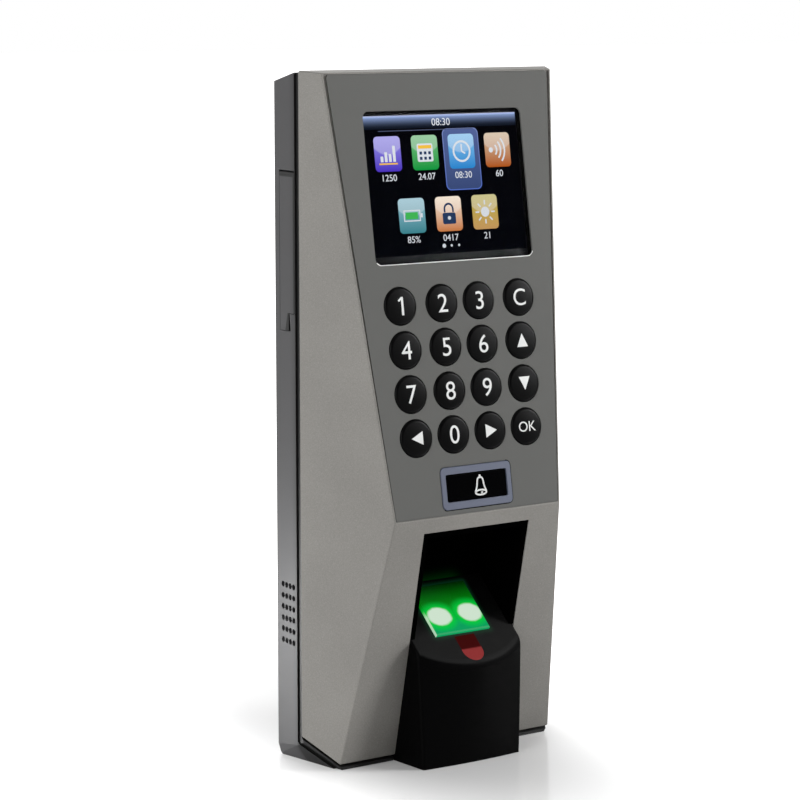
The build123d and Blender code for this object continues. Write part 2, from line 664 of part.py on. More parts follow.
def sensor_volume(by=0.0, slope_by=None, back=0.0, rounded=False):
    """The sensor block's volume, drawn in by a distance; its bow grows from the toe to the crest."""
    slope_by = by if slope_by is None else slope_by
    half = bay_half_width - bay_gap
    high_z = slope_z(0.0)
    times = (high_z + casing_drop) / (crest_z + casing_drop)
    low = sensor_section(by, toe_y, toe_bow, -casing_drop)
    high_y, high_bow = toe_y + (crest_y - toe_y) * times, toe_bow + (crest_bow - toe_bow) * times
    body = loft([low, sensor_section(by, high_y, high_bow, high_z)], ruled=True)
    body -= on_slope(Box(4 * half, 8 * half, 4 * half), v=2 * half - slope_by)
    rear = (-half + by, foot_y, 0.0)
    toe = (-half + sensor_taper + by, toe_y, -casing_drop)
    crest = (-half + by, crest_y, crest_z)
    body -= both_sides(beyond(rear, toe, crest))
    body -= block((-2 * half, 2 * half), (bay_back_y - back, 2 * half), (-2 * height, 2 * height))
    body -= block((-2 * half, 2 * half), (-4 * half, 2 * half), (-2 * height, by - casing_drop))
    if rounded:
        rim = [e for e in body.edges() if e.center().Y < crest_y and e.center().Z > crest_z / 2 and e.length > half]
        body = fillet(rim, crest_round)
        front = [e for e in body.edges() if e.center().Y < crest_y]
        body = fillet([e for e in front if abs((e @ 0 - e @ 1).Z) > crest_z / 2], side_round)
    return body


def marker_column():
    """The finger marker's tongue shape, swept square to the slope."""
    low_u = marker_low_u + marker_half_width
    outline = Pos(0, (low_u + marker_high_u) / 2) * Rectangle(2 * marker_half_width, marker_high_u - low_u)
    outline += Pos(0, low_u) * Circle(marker_half_width)
    return SLOPE.location * Pos(0, 0, -6) * extrude(outline, 12)


def sensor_housing():
    """Black sensor block: the sloped finger rest, open at the back."""
    body = sensor_volume(rounded=True)
    body -= sensor_volume(sensor_wall, slope_wall, back=-5.0)
    body -= on_slope(
        Box(glass_width + 2 * glass_gap, glass_length + 2 * glass_gap, 12), u=(glass_low_u + glass_high_u) / 2
    )
    body -= marker_column() & (sensor_volume() - sensor_volume(marker_thickness))
    for side in (-1, 1):
        x = side * sensor_rib_x
        rib = (x - sensor_rib_width / 2, x + sensor_rib_width / 2)
        body += block(rib, (toe_y + 4, bay_back_y), (sensor_wall - casing_drop - 0.5, sensor_board_z))
        body -= along_y(screw_radius + screw_gap, x, sensor_board_z / 2 + 0.3, (bay_back_y - 7, bay_back_y + 1))
    return body


def finger_marker():
    """Red inlay that shows where the finger lies."""
    return marker_column() & (sensor_volume(rounded=True) - sensor_volume(marker_thickness))


def bay_liner():
    """Black lining of the finger bay with the flange that carries the sensor."""
    half = bay_half_width - bay_gap
    high = bay_top_z - bay_gap
    lift = 0.05

    def bay(x, top, back):
        points = [(back, slope_z(back, lift)), (back, top), (-40.0, top), (-40.0, slope_z(-40.0, lift))]
        return prism_yz(points, (-x, x))

    body = bay(half, high, bay_back_y) & cover_volume(0.15)
    body -= bay(half - bay_wall, high - bay_wall, bay_back_y - bay_wall)
    flange_y = (bay_back_y, bay_back_y + bay_wall)
    floor_z = underside_z(flange_y[1], -cover_floor) + bay_gap
    body += block((-half, half), flange_y, (liner_flange_low_z, liner_flange_high_z))
    body += block((-liner_flange_half_width, liner_flange_half_width), flange_y, (floor_z, liner_flange_high_z))
    body -= block((-7, 7), (bay_back_y - 1, bay_back_y + bay_wall + 1), (sensor_board_z, sensor_board_z + 4))
    for x, z in sensor_screw_places():
        body -= along_y(screw_radius + screw_gap, x, z, (bay_back_y - 1, bay_back_y + bay_wall + 1))
    return body


def sensor_screw_places():
    """Yields X and Z of each screw through the liner's flange."""
    for side in (-1, 1):
        yield side * sensor_rib_x, sensor_board_z / 2 + 0.3
        for z in sensor_post_z:
            yield side * sensor_post_x, z


def screw_along_y(x, z, seat, tip, radius=screw_radius, head=screw_head_radius, thick=screw_head_height):
    """A pan-head screw along Y with its head behind the seat and its tip in front."""
    recess = Box(head, 0.9, 0.45) + Box(0.45, 0.9, head)
    body = along_y(radius, x, z, (tip, seat)) + along_y(head, x, z, (seat, seat + thick))
    return body - Pos(x, seat + thick, z) * recess


def sensor_screws():
    """The screws that hold the liner to the cover and the sensor block to the liner."""
    seat = bay_back_y + bay_wall
    return Compound(children=[screw_along_y(x, z, seat, seat - 7.0) for x, z in sensor_screw_places()])


def sensor_glass():
    """Scanning window that stands a little proud of the slope."""
    plate = Box(glass_width, glass_length, glass_thickness)
    plate = chamfer(plate.faces().sort_by(Axis.Z)[-1].edges(), 0.35)
    middle_u = (glass_low_u + glass_high_u) / 2
    return on_slope(plate, u=middle_u, v=glass_proud - glass_thickness / 2)


def prism_top_v():
    """Height of the prism's upper face over the slope: the underside of the glass."""
    return glass_proud - glass_thickness


def sensor_prism():
    """Right-angle prism under the glass."""
    half = prism_length / 2
    outline = make_face(Polyline((-half, 0), (half, 0), (0, -half), close=True))
    across = Pos(-prism_half_width, 0, 0) * (Plane.YZ.location * extrude(outline, 2 * prism_half_width))
    return on_slope(across, u=(glass_low_u + glass_high_u) / 2, v=prism_top_v())


def sensor_board():
    """Small circuit board on the ribs inside the sensor block."""
    half = sensor_rib_x + sensor_rib_width / 2 - 0.6
    front = toe_y + 4.2
    return block((-half, half), (front, bay_back_y - 0.4), (sensor_board_z, sensor_board_z + 1.2))


def sensor_camera():
    """Lens barrel and chip of the sensor's camera, under the prism."""
    low = sensor_board_z + 1.2
    at = Pos((0, -10.8, low))
    base = at * extrude(Rectangle(2 * camera_half_width, 2 * camera_half_width), 4.0)
    barrel = at * Pos(0, 0, 4.0) * extrude(Circle(3.8), 9.0)
    ring = at * Pos(0, 0, 13.0) * extrude(Circle(3.2) - Circle(1.8), 1.2)
    return base + barrel + ring


def sensor_lamps():
    """The two green lamps that light the prism."""
    lamps = []
    for side in (-1, 1):
        at = Pos(side * lamp_x, -10.8, sensor_board_z + 1.2)
        lamp = at * extrude(Circle(2.5), 8.0) + at * extrude(Circle(2.9), 1.0)
        lamps.append(lamp + at * Pos(0, 0, 8.0) * Sphere(2.5))
    return Compound(children=lamps)


# ---------------------------------------------------------------- main board and what it carries
def main_board():
    """Main circuit board on the casing's standoffs."""
    half = main_board_width / 2
    body = block((-half, half), (main_board_y, main_board_back_y), (main_board_low_z, main_board_high_z))
    reach = -half_width + casing_wall + usb_depth
    body -= block((-half - 1, reach), (0, 10), (usb_z - usb_mouth[0] / 2 - 0.3, usb_z + usb_mouth[0] / 2 + 0.3))
    for x in (-standoff_x, standoff_x):
        for z in standoff_z:
            body -= along_y(screw_radius + screw_gap, x, z, (0, 10))
    return body


def board_screws():
    """The screws that hold the main board to the casing."""
    screws = []
    for x in (-standoff_x, standoff_x):
        for z in standoff_z:
            head = along_y(screw_head_radius, x, z, (main_board_y - screw_head_height, main_board_y))
            slot = Pos(x, main_board_y - screw_head_height, z) * (Box(1.9, 0.9, 0.45) + Box(0.45, 0.9, 1.9))
            screws.append(head + along_y(screw_radius, x, z, (main_board_y, main_board_y + 4.6)) - slot)
    return Compound(children=screws)


def on_board(x, z, across, up, thick):
    """A block on the front of the main board, centred at X and Z."""
    return block(
        (x - across / 2, x + across / 2), (main_board_y - thick, main_board_y), (z - up / 2, z + up / 2)
    )


def board_chips():
    """Processor, memory, radio and driver chips."""
    chips = [
        on_board(2, height - 31, 15, 15, 1.4),
        on_board(18, height - 29, 9, 11, 1.1),
        on_board(18, height - 45, 10, 10, 1.0),
        on_board(-14, height - 23, 8, 6, 1.1),
        on_board(20, 44, 7, 7, 1.0),
        on_board(-8, 58, 6, 10, 1.3),
    ]
    return Compound(children=chips)


def board_connectors():
    """The board's sockets for the ribbons."""
    return Compound(children=[on_board(x, z, across, 4.5, 2.0) for x, z, across in ribbon_sockets()])


def ribbon_sockets():
    """X, Z and width of each ribbon's socket on the main board."""
    return ((0.0, height - 57.0, 22.0), (-2.0, 84.0, 16.0), (0.0, 24.0, 14.0))


def capacitors():
    """The smoothing capacitors of the power supply."""
    cans = []
    for x, z in ((-24.0, 74.0), (-24.0, 84.0), (24.0, 74.0)):
        cans.append(fillet(along_y(4.0, x, z, (main_board_y - 9.0, main_board_y)).edges(), 0.4))
    return Compound(children=cans)


def lock_relay():
    """The relay that works the door lock."""
    return fillet(on_board(-17, 102, 15.4, 19.0, 12.0).edges().filter_by(Axis.Y), 0.6)


def buzzer():
    """Sounder with its central hole."""
    can = along_y(6.0, buzzer_x, buzzer_z, (main_board_y - 7.5, main_board_y))
    return can - along_y(1.2, buzzer_x, buzzer_z, (main_board_y - 8, main_board_y - 5))


def coin_cell():
    """Clock battery."""
    cell = along_y(10.0, coin_x, coin_z, (main_board_y - 4.4, main_board_y - 1.2))
    return chamfer(cell.edges(), 0.3)


def coin_cell_holder():
    """Holder round the clock battery."""
    ring = along_y(11.0, coin_x, coin_z, (main_board_y - 3.4, main_board_y))
    return ring - along_y(10.1, coin_x, coin_z, (main_board_y - 10, main_board_y - 1.15))


def strip(points, x, across, thickness=0.2):
    """A flat ribbon that follows (y, z) points."""
    upper, lower = [], []
    for i, (y, z) in enumerate(points):
        ahead = points[min(i + 1, len(points) - 1)]
        behind = points[max(i - 1, 0)]
        dy, dz = ahead[0] - behind[0], ahead[1] - behind[1]
        length = math.hypot(dy, dz)
        ny, nz = -dz / length * thickness / 2, dy / length * thickness / 2
        upper.append((y + ny, z + nz))
        lower.append((y - ny, z - nz))
    return prism_yz(upper + lower[::-1], (x - across / 2, x + across / 2))


def face_point(s, depth):
    """(y, z) of a point up the face and behind it."""
    angle = math.radians(lean)
    y = ridge_y + s * math.sin(angle) + depth * math.cos(angle)
    return y, ridge_z + s * math.cos(angle) - depth * math.sin(angle)


def ribbon_cables():
    """The flat ribbons from the display, the keypad and the sensor to the main board."""
    sockets = ribbon_sockets()
    ends = [(main_board_y - 2.15, z) for _, z, _ in sockets]
    display_start = face_point(window_s - 12.0, panel_back + 0.15)
    keypad_start = face_point(32.0, keypad_board_back + 0.15)
    display = [display_start, face_point(window_s - 13.0, panel_back + 2.0), (-2.0, sockets[0][1] + 3.0), (1.0, sockets[0][1] + 0.5), ends[0]]
    keypad = [keypad_start, face_point(31.0, keypad_board_back + 3.0), (-3.0, sockets[1][1] + 4.0), (1.0, sockets[1][1] + 0.5), ends[1]]
    low = sensor_board_z + 1.35
    sensor = [(-4.5, low), (bay_back_y + 1.5, low + 0.4), (1.6, low + 4.0), (2.2, 20.0), ends[2]]
    return Compound(
        children=[
            strip(display, sockets[0][0], 20.0),
            strip(keypad, sockets[1][0], 14.0),
            strip(sensor, sockets[2][0], 12.0),
        ]
    )


def usb_socket():
    """Upright USB socket at the casing's left side."""
    x = (-half_width + casing_wall - 0.6, -half_width + casing_wall + usb_depth - 0.6)
    up, deep = usb_mouth
    shell = block(x, (usb_y - deep / 2, usb_y + deep / 2), (usb_z - up / 2, usb_z + up / 2))
    inner_y = (usb_y - deep / 2 + usb_shell, usb_y + deep / 2 - usb_shell)
    shell -= block((x[0] - 1, x[1] - 2.5), inner_y, (usb_z - up / 2 + usb_shell, usb_z + up / 2 - usb_shell))
    tongue = block((x[0] + 0.8, x[1] - 2.5), (usb_y + 0.2, usb_y + 2.0), (usb_z - 5.6, usb_z + 5.6))
    return shell + tongue


def board_switches():
    """The two switches on the back of the main board: the side-action reset switch and the tamper switch."""
    low_x = -half_width + casing_wall + 4.6
    reset = block((low_x, low_x + 6), (main_board_back_y, main_board_back_y + 3.4), (reset_z - 3, reset_z + 3))
    tamper = block((-3.5, 3.5), (main_board_back_y, main_board_back_y + 1.4), (tamper_z - 3.5, tamper_z + 3.5))
    return Compound(children=[reset, tamper])


def reset_button():
    """Pin that reaches the reset switch from behind the port flap."""
    face_x = -half_width + flap_thickness + 0.4
    switch_x = -half_width + casing_wall + 4.6
    wall_x = -casing_half_width(reset_y + reset_radius) + casing_wall + 0.1
    pin = along_x(reset_radius, reset_y, reset_z, (face_x, switch_x - reset_travel - 0.1))
    flange = along_x(reset_radius + 0.5, reset_y, reset_z, (wall_x, wall_x + 0.8))
    return pin + flange


def port_flap():
    """Flap over the ports, hinged at its top on two short pins."""
    hinge_x, hinge_z = hinge_axis()
    outline = flap_outline(0.0)
    leaf = prism_yz(outline, (-half_width, -half_width + flap_thickness)) & plan(0)
    middle_y = sum(flap_y) / 2
    barrel = Pos(hinge_x, middle_y, hinge_z) * Rot(90, 0, 0) * Cylinder(hinge_radius, flap_y[1] - flap_y[0])
    pins = Pos(hinge_x, middle_y, hinge_z) * Rot(90, 0, 0) * Cylinder(
        hinge_pin_radius, flap_y[1] - flap_y[0] + 2 * hinge_pin_length
    )
    return leaf + barrel + pins


def speaker_wall_x():
    """X of the casing's inner side where the speaker's foam ring touches it."""
    return -casing_half_width(speaker_y[1]) + casing_wall


def speaker():
    """Oval speaker behind the side vents."""
    x0 = speaker_wall_x() + speaker_foam
    low_z = vent_first_z - 3.5
    high_z = vent_first_z + vent_pitch_z * (vent_rows - 1) + 3.5
    body = block((x0, x0 + 5.0), speaker_y, (low_z, high_z))
    body = fillet(body.edges().filter_by(Axis.X), 1.5)
    cone = Pos(x0, 6.25, (low_z + high_z) / 2) * Rot(0, 90, 0) * extrude(Ellipse(9.5, 2.7), 1.0)
    return body - cone


def speaker_gasket():
    """Foam ring between the speaker and the casing's side."""
    x0 = speaker_wall_x()
    low_z = vent_first_z - 3.5
    high_z = vent_first_z + vent_pitch_z * (vent_rows - 1) + 3.5
    ring = block((x0, x0 + speaker_foam), speaker_y, (low_z, high_z))
    return ring - block((x0 - 1, x0 + 2), (speaker_y[0] + 0.8, speaker_y[1] - 0.8), (low_z + 1.5, high_z - 1.5))


def rear_terminals():
    """Terminal sockets that face the cable opening."""
    sockets = []
    for rise, across in ((-17.0, 34.0), (-6.0, 30.0), (5.0, 34.0), (16.0, 24.0)):
        z = mount_z + rise
        body = block((-across / 2, across / 2), (main_board_back_y, main_board_back_y + 3.6), (z - 3.6, z + 3.6))
        count = int(across // 4)
        for i in range(count):
            x = (i - (count - 1) / 2) * 4.0
            body -= block((x - 1.2, x + 1.2), (main_board_back_y + 1.2, 20), (z - 2.0, z + 2.0))
        sockets.append(body)
    return Compound(children=sockets)


def tamper_plunger():
    """Plunger that the wall holds in and that springs out when the terminal is lifted off."""
    rest = main_board_back_y + 1.4 + tamper_travel + 0.1
    stem = along_y(tamper_radius, 0, tamper_z, (rest, plate_y + 1.0))
    collar = along_y(tamper_radius + 1.0, 0, tamper_z, (rest, back_inner_y - 0.05))
    return fillet((stem + collar).edges().sort_by(Axis.Y)[-1], 0.4)


# ---------------------------------------------------------------- fastening
def casing_screws():
    """The four long screws that enter from the back and hold cover and casing together."""
    screws = []
    for x in (-casing_screw_x, casing_screw_x):
        for z in casing_screw_z:
            screws.append(screw_along_y(x, z, 9.0, -4.5, radius=1.2, head=2.3, thick=1.6))
    return Compound(children=screws)


def wall_plate():
    """Steel plate that is screwed to the wall and carries the terminal on its hooks."""
    half = wall_plate_half_width
    low, high = wall_plate_z
    body = fillet(block((-half, half), (recess_y, plate_y), (low, high)).edges().filter_by(Axis.Y), 3.0)
    opening = block((-cable_half_width - 2, cable_half_width + 2), (0, 20), (cable_z[0] - 2, cable_z[1] + 2))
    body -= fillet(opening.edges().filter_by(Axis.Y), 2.0)
    body -= along_y(4.0, 0, tamper_z, (0, 20))
    for x in (-mount_half_x, mount_half_x):
        for z in (mount_z - mount_half_z, mount_z + mount_half_z):
            body -= along_y(mount_hole_radius, x, z, (0, 20))
    for x in (-hook_x, hook_x):
        hook_span = (x - hook_half_width, x + hook_half_width)
        for z in hook_z:
            tip_y = back_inner_y - 0.2 - wall_plate_thickness
            body += block(hook_span, (tip_y, recess_y), (z, z + wall_plate_thickness))
            body += block(hook_span, (tip_y, back_inner_y - 0.2), (z, z + hook_rise))
    tab = block((-6, 6), (lock_y() - 3, recess_y), (low, low + wall_plate_thickness))
    tab -= Pos(0, lock_y(), 0) * extrude(Circle(1.5 + screw_gap), 40)
    return body + tab


def lock_screw():
    """The screw that locks the terminal to the wall plate's tab from below."""
    seat = 2.4 - casing_drop
    at = Pos(0, lock_y(), 0)
    head = at * Pos(0, 0, seat - 2.0) * extrude(Circle(2.8), 2.0)
    shank = at * Pos(0, 0, seat) * extrude(Circle(1.5), 14.0)
    socket = at * Pos(0, 0, seat - 2.0) * extrude(RegularPolygon(1.2, 6), 1.2)
    return head + shank - socket


# ---------------------------------------------------------------- export
def write(name, shape):
    """Moves a sub-part to the library's origin and writes its solids as one STEP file."""
    solids = [Pos(0, -plate_y, -mount_z) * solid for solid in shape.solids()]
    export_step(solids[0] if len(solids) == 1 else Compound(solids), f"parts/{name}.step")


def main():
    """Builds and writes every sub-part."""
    os.makedirs("parts", exist_ok=True)
    parts = (
        back_casing, front_cover, face_plate, display_lens, display_gasket, display_panel, display_frame,
        bell_bezel, bell_button, keypad_mat, keypad_board, key_contacts, cover_screws, card_antenna,
        sensor_housing, finger_marker, bay_liner, sensor_screws, sensor_glass, sensor_prism, sensor_board,
        sensor_camera, sensor_lamps, main_board, board_screws, board_chips, board_connectors, capacitors,
        lock_relay, buzzer, coin_cell, coin_cell_holder, ribbon_cables, usb_socket, board_switches,
        reset_button, port_flap, speaker, speaker_gasket, rear_terminals, tamper_plunger,
        casing_screws, wall_plate, lock_screw,
    )
    for make in parts:
        write(make.__name__, make())
    for name, x, s in key_places():
        write(name, on_face(key_cap(), x, s))


main()
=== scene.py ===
"""Looks of the fingerprint access terminal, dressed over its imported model.

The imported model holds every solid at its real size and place. This script gives each solid its
finish, and adds what is printed, lit or too fine for that model: the signs on the keys, the menu on
the display, the light in the finger window and the contacts in the sockets.

Lengths are metres. A size that is easier to read in millimetres is written as a number times MM.
"""

import json
import logging
import math
from collections.abc import Iterator, Mapping, Sequence
from contextlib import contextmanager
from dataclasses import dataclass
from enum import Enum
from typing import ClassVar

import bpy
from mathutils import Matrix, Vector

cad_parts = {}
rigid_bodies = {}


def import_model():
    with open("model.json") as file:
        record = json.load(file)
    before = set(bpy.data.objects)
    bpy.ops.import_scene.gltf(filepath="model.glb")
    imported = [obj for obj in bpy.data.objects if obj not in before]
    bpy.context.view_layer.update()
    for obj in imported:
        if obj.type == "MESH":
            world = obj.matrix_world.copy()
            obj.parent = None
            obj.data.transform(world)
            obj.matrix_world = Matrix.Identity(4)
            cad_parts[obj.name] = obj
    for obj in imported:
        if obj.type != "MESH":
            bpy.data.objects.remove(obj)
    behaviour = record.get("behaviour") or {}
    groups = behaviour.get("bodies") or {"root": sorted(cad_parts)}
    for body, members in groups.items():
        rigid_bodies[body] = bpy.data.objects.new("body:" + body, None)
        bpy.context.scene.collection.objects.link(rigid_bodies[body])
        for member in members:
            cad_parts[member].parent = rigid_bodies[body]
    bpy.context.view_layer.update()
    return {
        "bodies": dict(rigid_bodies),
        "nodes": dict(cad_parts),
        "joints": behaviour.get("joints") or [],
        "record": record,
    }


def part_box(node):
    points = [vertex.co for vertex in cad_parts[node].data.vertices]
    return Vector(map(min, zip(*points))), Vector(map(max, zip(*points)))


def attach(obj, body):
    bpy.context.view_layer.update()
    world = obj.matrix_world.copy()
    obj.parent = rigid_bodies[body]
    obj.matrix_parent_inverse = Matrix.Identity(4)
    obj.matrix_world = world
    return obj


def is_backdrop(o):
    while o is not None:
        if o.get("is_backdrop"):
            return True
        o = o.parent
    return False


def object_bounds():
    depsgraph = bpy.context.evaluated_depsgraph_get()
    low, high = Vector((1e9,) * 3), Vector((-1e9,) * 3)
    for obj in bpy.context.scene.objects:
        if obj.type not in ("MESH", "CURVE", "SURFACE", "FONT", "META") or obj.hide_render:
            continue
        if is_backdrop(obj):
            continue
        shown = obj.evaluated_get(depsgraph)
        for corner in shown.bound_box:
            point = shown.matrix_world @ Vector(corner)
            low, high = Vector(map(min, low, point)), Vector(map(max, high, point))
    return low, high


log = logging.getLogger("terminal")
MM = 0.001
HOUSING = "terminal"  # the body that everything fixed rides on
BEAD_RISE = 0.2  # a bead's height, as a share of its width
CRISP = 0.1 * MM  # how far a change of colour runs that is to look sharp
BACK = Vector((0, 1, 0))
UP = Vector((0, 0, 1))
FLECK_TONE = (0.35, 0.33, 0.29)
DUST_TONE = (0.42, 0.40, 0.36)

Colour = tuple[float, float, float]
Spot = tuple[float, float]
Piece = bpy.types.Object
Socket = bpy.types.NodeSocket


def shade(red: int, green: int, blue: int) -> Colour:
    """Turns a colour as a screen shows it, 0 to 255, into the linear values that shaders take."""
    levels = (red, green, blue)
    return tuple(((c / 255 + 0.055) / 1.055) ** 2.4 if c > 10 else c / 255 / 12.92 for c in levels)


def arc(middle: Spot, radii: Spot, start: float, end: float, steps: int) -> list[Spot]:
    """Gives the points of an arc of an oval.

    Args:
        middle: The oval's middle.
        radii: Half its width and half its height.
        start: Degrees that the arc starts at, turned to the left from the right.
        end: Degrees that it ends at.
        steps: How many straight steps it has.

    Returns:
        Its points, one more than the steps.
    """
    turns = [math.radians(start + (end - start) * i / steps) for i in range(steps + 1)]
    return [(middle[0] + radii[0] * math.cos(t), middle[1] + radii[1] * math.sin(t)) for t in turns]


# ---------------------------------------------------------------- places
@dataclass(frozen=True)
class Side:
    """A flat side of the terminal, with the axes that its pieces are laid out along.

    Attributes:
        across: Unit vector to the right, as one looks at the side.
        up: Unit vector up the side.
        out: Unit vector off the side, towards the onlooker.
    """

    across: Vector
    up: Vector
    out: Vector

    @classmethod
    def facing(cls, turn: float, lean: float = 0.0) -> "Side":
        """Makes the axes of a side.

        Args:
            turn: Degrees from the front, positive towards the right.
            lean: Degrees that the side leans back from upright.

        Returns:
            The side.
        """
        leant = Matrix.Rotation(math.radians(-lean), 3, "X")
        turned = Matrix.Rotation(math.radians(turn), 3, "Z") @ leant
        return cls(*(turned @ Vector(axis) for axis in ((1, 0, 0), (0, 0, 1), (0, -1, 0))))

    def reach(self, piece: Piece) -> tuple[Vector, Vector]:
        """Measures a piece along the side's axes.

        Args:
            piece: The mesh to measure.

        Returns:
            Its lowest and highest (across, up, out).
        """
        axes = (self.across, self.up, self.out)
        spots = [[axis.dot(v.co) for v in piece.data.vertices] for axis in axes]
        return Vector([min(s) for s in spots]), Vector([max(s) for s in spots])

    def middle(self, piece: Piece) -> Vector:
        """Gives the middle of a piece across and up the side, at its outermost height."""
        low, high = self.reach(piece)
        return Vector(((low.x + high.x) / 2, (low.y + high.y) / 2, high.z))

    def matrix(self, across: float, up: float, out: float) -> Matrix:
        """Gives the matrix that lays a flat piece on the side at a place."""
        turn = Matrix((self.across, self.up, self.out)).transposed().to_4x4()
        return Matrix.Translation(self.across * across + self.up * up + self.out * out) @ turn


# ---------------------------------------------------------------- modelling
class Bench:
    """The modelling bench: shapes pieces flat at the origin, then sets them in their place."""

    @staticmethod
    def take(*pieces: Piece) -> None:
        """Selects these pieces and nothing else, and makes the first one active.

        Args:
            pieces: The pieces, or none to select nothing.
        """
        bpy.ops.object.select_all(action="DESELECT")
        for piece in pieces:
            piece.select_set(True)
        if pieces:
            bpy.context.view_layer.objects.active = pieces[0]

    @classmethod
    @contextmanager
    def editing(cls, piece: Piece) -> Iterator[None]:
        """Opens a piece in edit mode with all of it selected, and closes it again.

        Args:
            piece: The piece to edit.

        Returns:
            Nothing: the edits go in the with block.
        """
        cls.take(piece)
        bpy.ops.object.mode_set(mode="EDIT")
        bpy.ops.mesh.select_all(action="SELECT")
        yield
        bpy.ops.object.mode_set(mode="OBJECT")

    @staticmethod
    def named(name: str) -> Piece:
        """Names the piece that an operator has just made, and its mesh.

        Args:
            name: The name.

        Returns:
            The piece.
        """
        piece = bpy.context.object
        piece.name = name
        piece.data.name = name
        return piece

    @classmethod
    def apply(cls, piece: Piece) -> None:
        """Fixes a piece's place, turn and scale in its mesh."""
        cls.take(piece)
        bpy.ops.object.transform_apply(location=True, rotation=True, scale=True)

    @classmethod
    def thicken(cls, piece: Piece, depth: float) -> None:
        """Extrudes a flat piece outwards into a closed slab.

        Args:
            piece: The flat piece, lying at height 0.
            depth: Its thickness.
        """
        with cls.editing(piece):
            bpy.ops.mesh.extrude_region_move(TRANSFORM_OT_translate={"value": (0, 0, depth)})
            bpy.ops.mesh.select_all(action="SELECT")
            bpy.ops.mesh.normals_make_consistent(inside=False)

    @classmethod
    def round_off(cls, piece: Piece, corner: float, steps: int) -> None:
        """Rounds the corners of a flat piece, each in a few straight steps."""
        with cls.editing(piece):
            bpy.ops.mesh.bevel(offset=corner, segments=steps, affect="VERTICES")

    @classmethod
    def modify(cls, piece: Piece, kind: str, **settings: object) -> None:
        """Adds a modifier with its settings to a piece, and applies it.

        Args:
            piece: The piece.
            kind: The modifier's type.
            settings: The modifier's own settings.
        """
        cls.take(piece)
        modifier = piece.modifiers.new(kind.lower(), kind)
        for name, value in settings.items():
            setattr(modifier, name, value)
        bpy.ops.object.modifier_apply(modifier=modifier.name)

    @classmethod
    def slab(cls, name: str, size: Spot, depth: float, corner: float = 0.0) -> Piece:
        """Makes a plate with rounded corners.

        Args:
            name: The piece's name.
            size: Its width and height.
            depth: Its thickness, or 0 for a flat sign.
            corner: The radius of its corners.

        Returns:
            The plate, centred on the origin.
        """
        cls.take()
        bpy.ops.mesh.primitive_plane_add(size=1.0)
        piece = cls.named(name)
        piece.scale = (*size, 1.0)
        cls.apply(piece)
        if corner:
            cls.round_off(piece, corner, 6)
        if depth:
            cls.thicken(piece, depth)
        return piece

    @classmethod
    def disc(cls, name: str, radius: float, depth: float, sides: int, hole: float = 0.0) -> Piece:
        """Makes a disc or a ring.

        Args:
            name: The piece's name.
            radius: Its outer radius.
            depth: Its thickness.
            sides: How many straight steps its outline has.
            hole: The radius of its hole, or 0 for none.

        Returns:
            The disc, centred on the origin.
        """
        cls.take()
        bpy.ops.mesh.primitive_circle_add(vertices=sides, radius=radius, fill_type="NGON")
        piece = cls.named(name)
        if hole:
            with cls.editing(piece):
                bpy.ops.mesh.inset(thickness=radius - hole)
                bpy.ops.mesh.delete(type="FACE")
        cls.thicken(piece, depth)
        return piece

    @classmethod
    def arrow(cls, name: str, size: float, corner: float) -> Piece:
        """Makes a flat triangle that points up, with slightly rounded corners.

        Args:
            name: The piece's name.
            size: Its width and height.
            corner: The radius of its corners.

        Returns:
            The triangle, with no thickness, centred on the origin.
        """
        cls.take()
        bpy.ops.mesh.primitive_circle_add(vertices=3, radius=1.0, fill_type="NGON")
        piece = cls.named(name)
        piece.scale = (size / math.sqrt(3), size / 1.5, 1.0)
        piece.location.y = -size / 6
        cls.apply(piece)
        cls.round_off(piece, corner, 3)
        return piece

    @classmethod
    def sign(cls, name: str, text: str, height: float) -> Piece:
        """Writes generic characters as a flat piece.

        Args:
            name: The piece's name.
            text: The characters.
            height: Their height.

        Returns:
            The piece, with no thickness, centred on the origin.
        """
        cls.take()
        bpy.ops.object.text_add()
        bpy.context.object.data.body = text
        bpy.ops.object.convert(target="MESH")
        piece = cls.named(name)
        with cls.editing(piece):
            bpy.ops.mesh.remove_doubles(threshold=1e-5)
        bpy.ops.object.origin_set(type="ORIGIN_GEOMETRY", center="BOUNDS")
        piece.location = (0, 0, 0)
        piece.scale = (height / piece.dimensions.y,) * 3
        cls.apply(piece)
        return piece

    @classmethod
    def bead(
        cls, name: str, line: Sequence[Spot], width: float, closed: bool = False, soft: bool = False
    ) -> Piece:
        """Draws a line of even width as a low rounded bead.

        Args:
            name: The piece's name.
            line: The points that the line follows.
            width: Its width.
            closed: Whether the line ends where it starts.
            soft: Whether the line rounds its points.

        Returns:
            The bead.
        """
        curve = bpy.data.curves.new(name, "CURVE")
        curve.dimensions = "3D"
        curve.bevel_depth = width / 2
        curve.bevel_resolution = 2
        curve.use_fill_caps = not closed
        spline = curve.splines.new("NURBS" if soft else "POLY")
        spline.points.add(len(line) - 1)
        for point, (x, y) in zip(spline.points, line):
            point.co = (x, y, 0, 1)
        spline.use_cyclic_u = closed
        if soft:
            spline.order_u = 3
            spline.use_endpoint_u = not closed
        drawn = bpy.data.objects.new(name, curve)
        bpy.context.scene.collection.objects.link(drawn)
        cls.take(drawn)
        bpy.ops.object.convert(target="MESH")
        piece = cls.named(name)
        with cls.editing(piece):
            bpy.ops.mesh.remove_doubles(threshold=1e-7)
            bpy.ops.mesh.normals_make_consistent(inside=False)
        piece.scale.z = BEAD_RISE
        cls.apply(piece)
        return piece

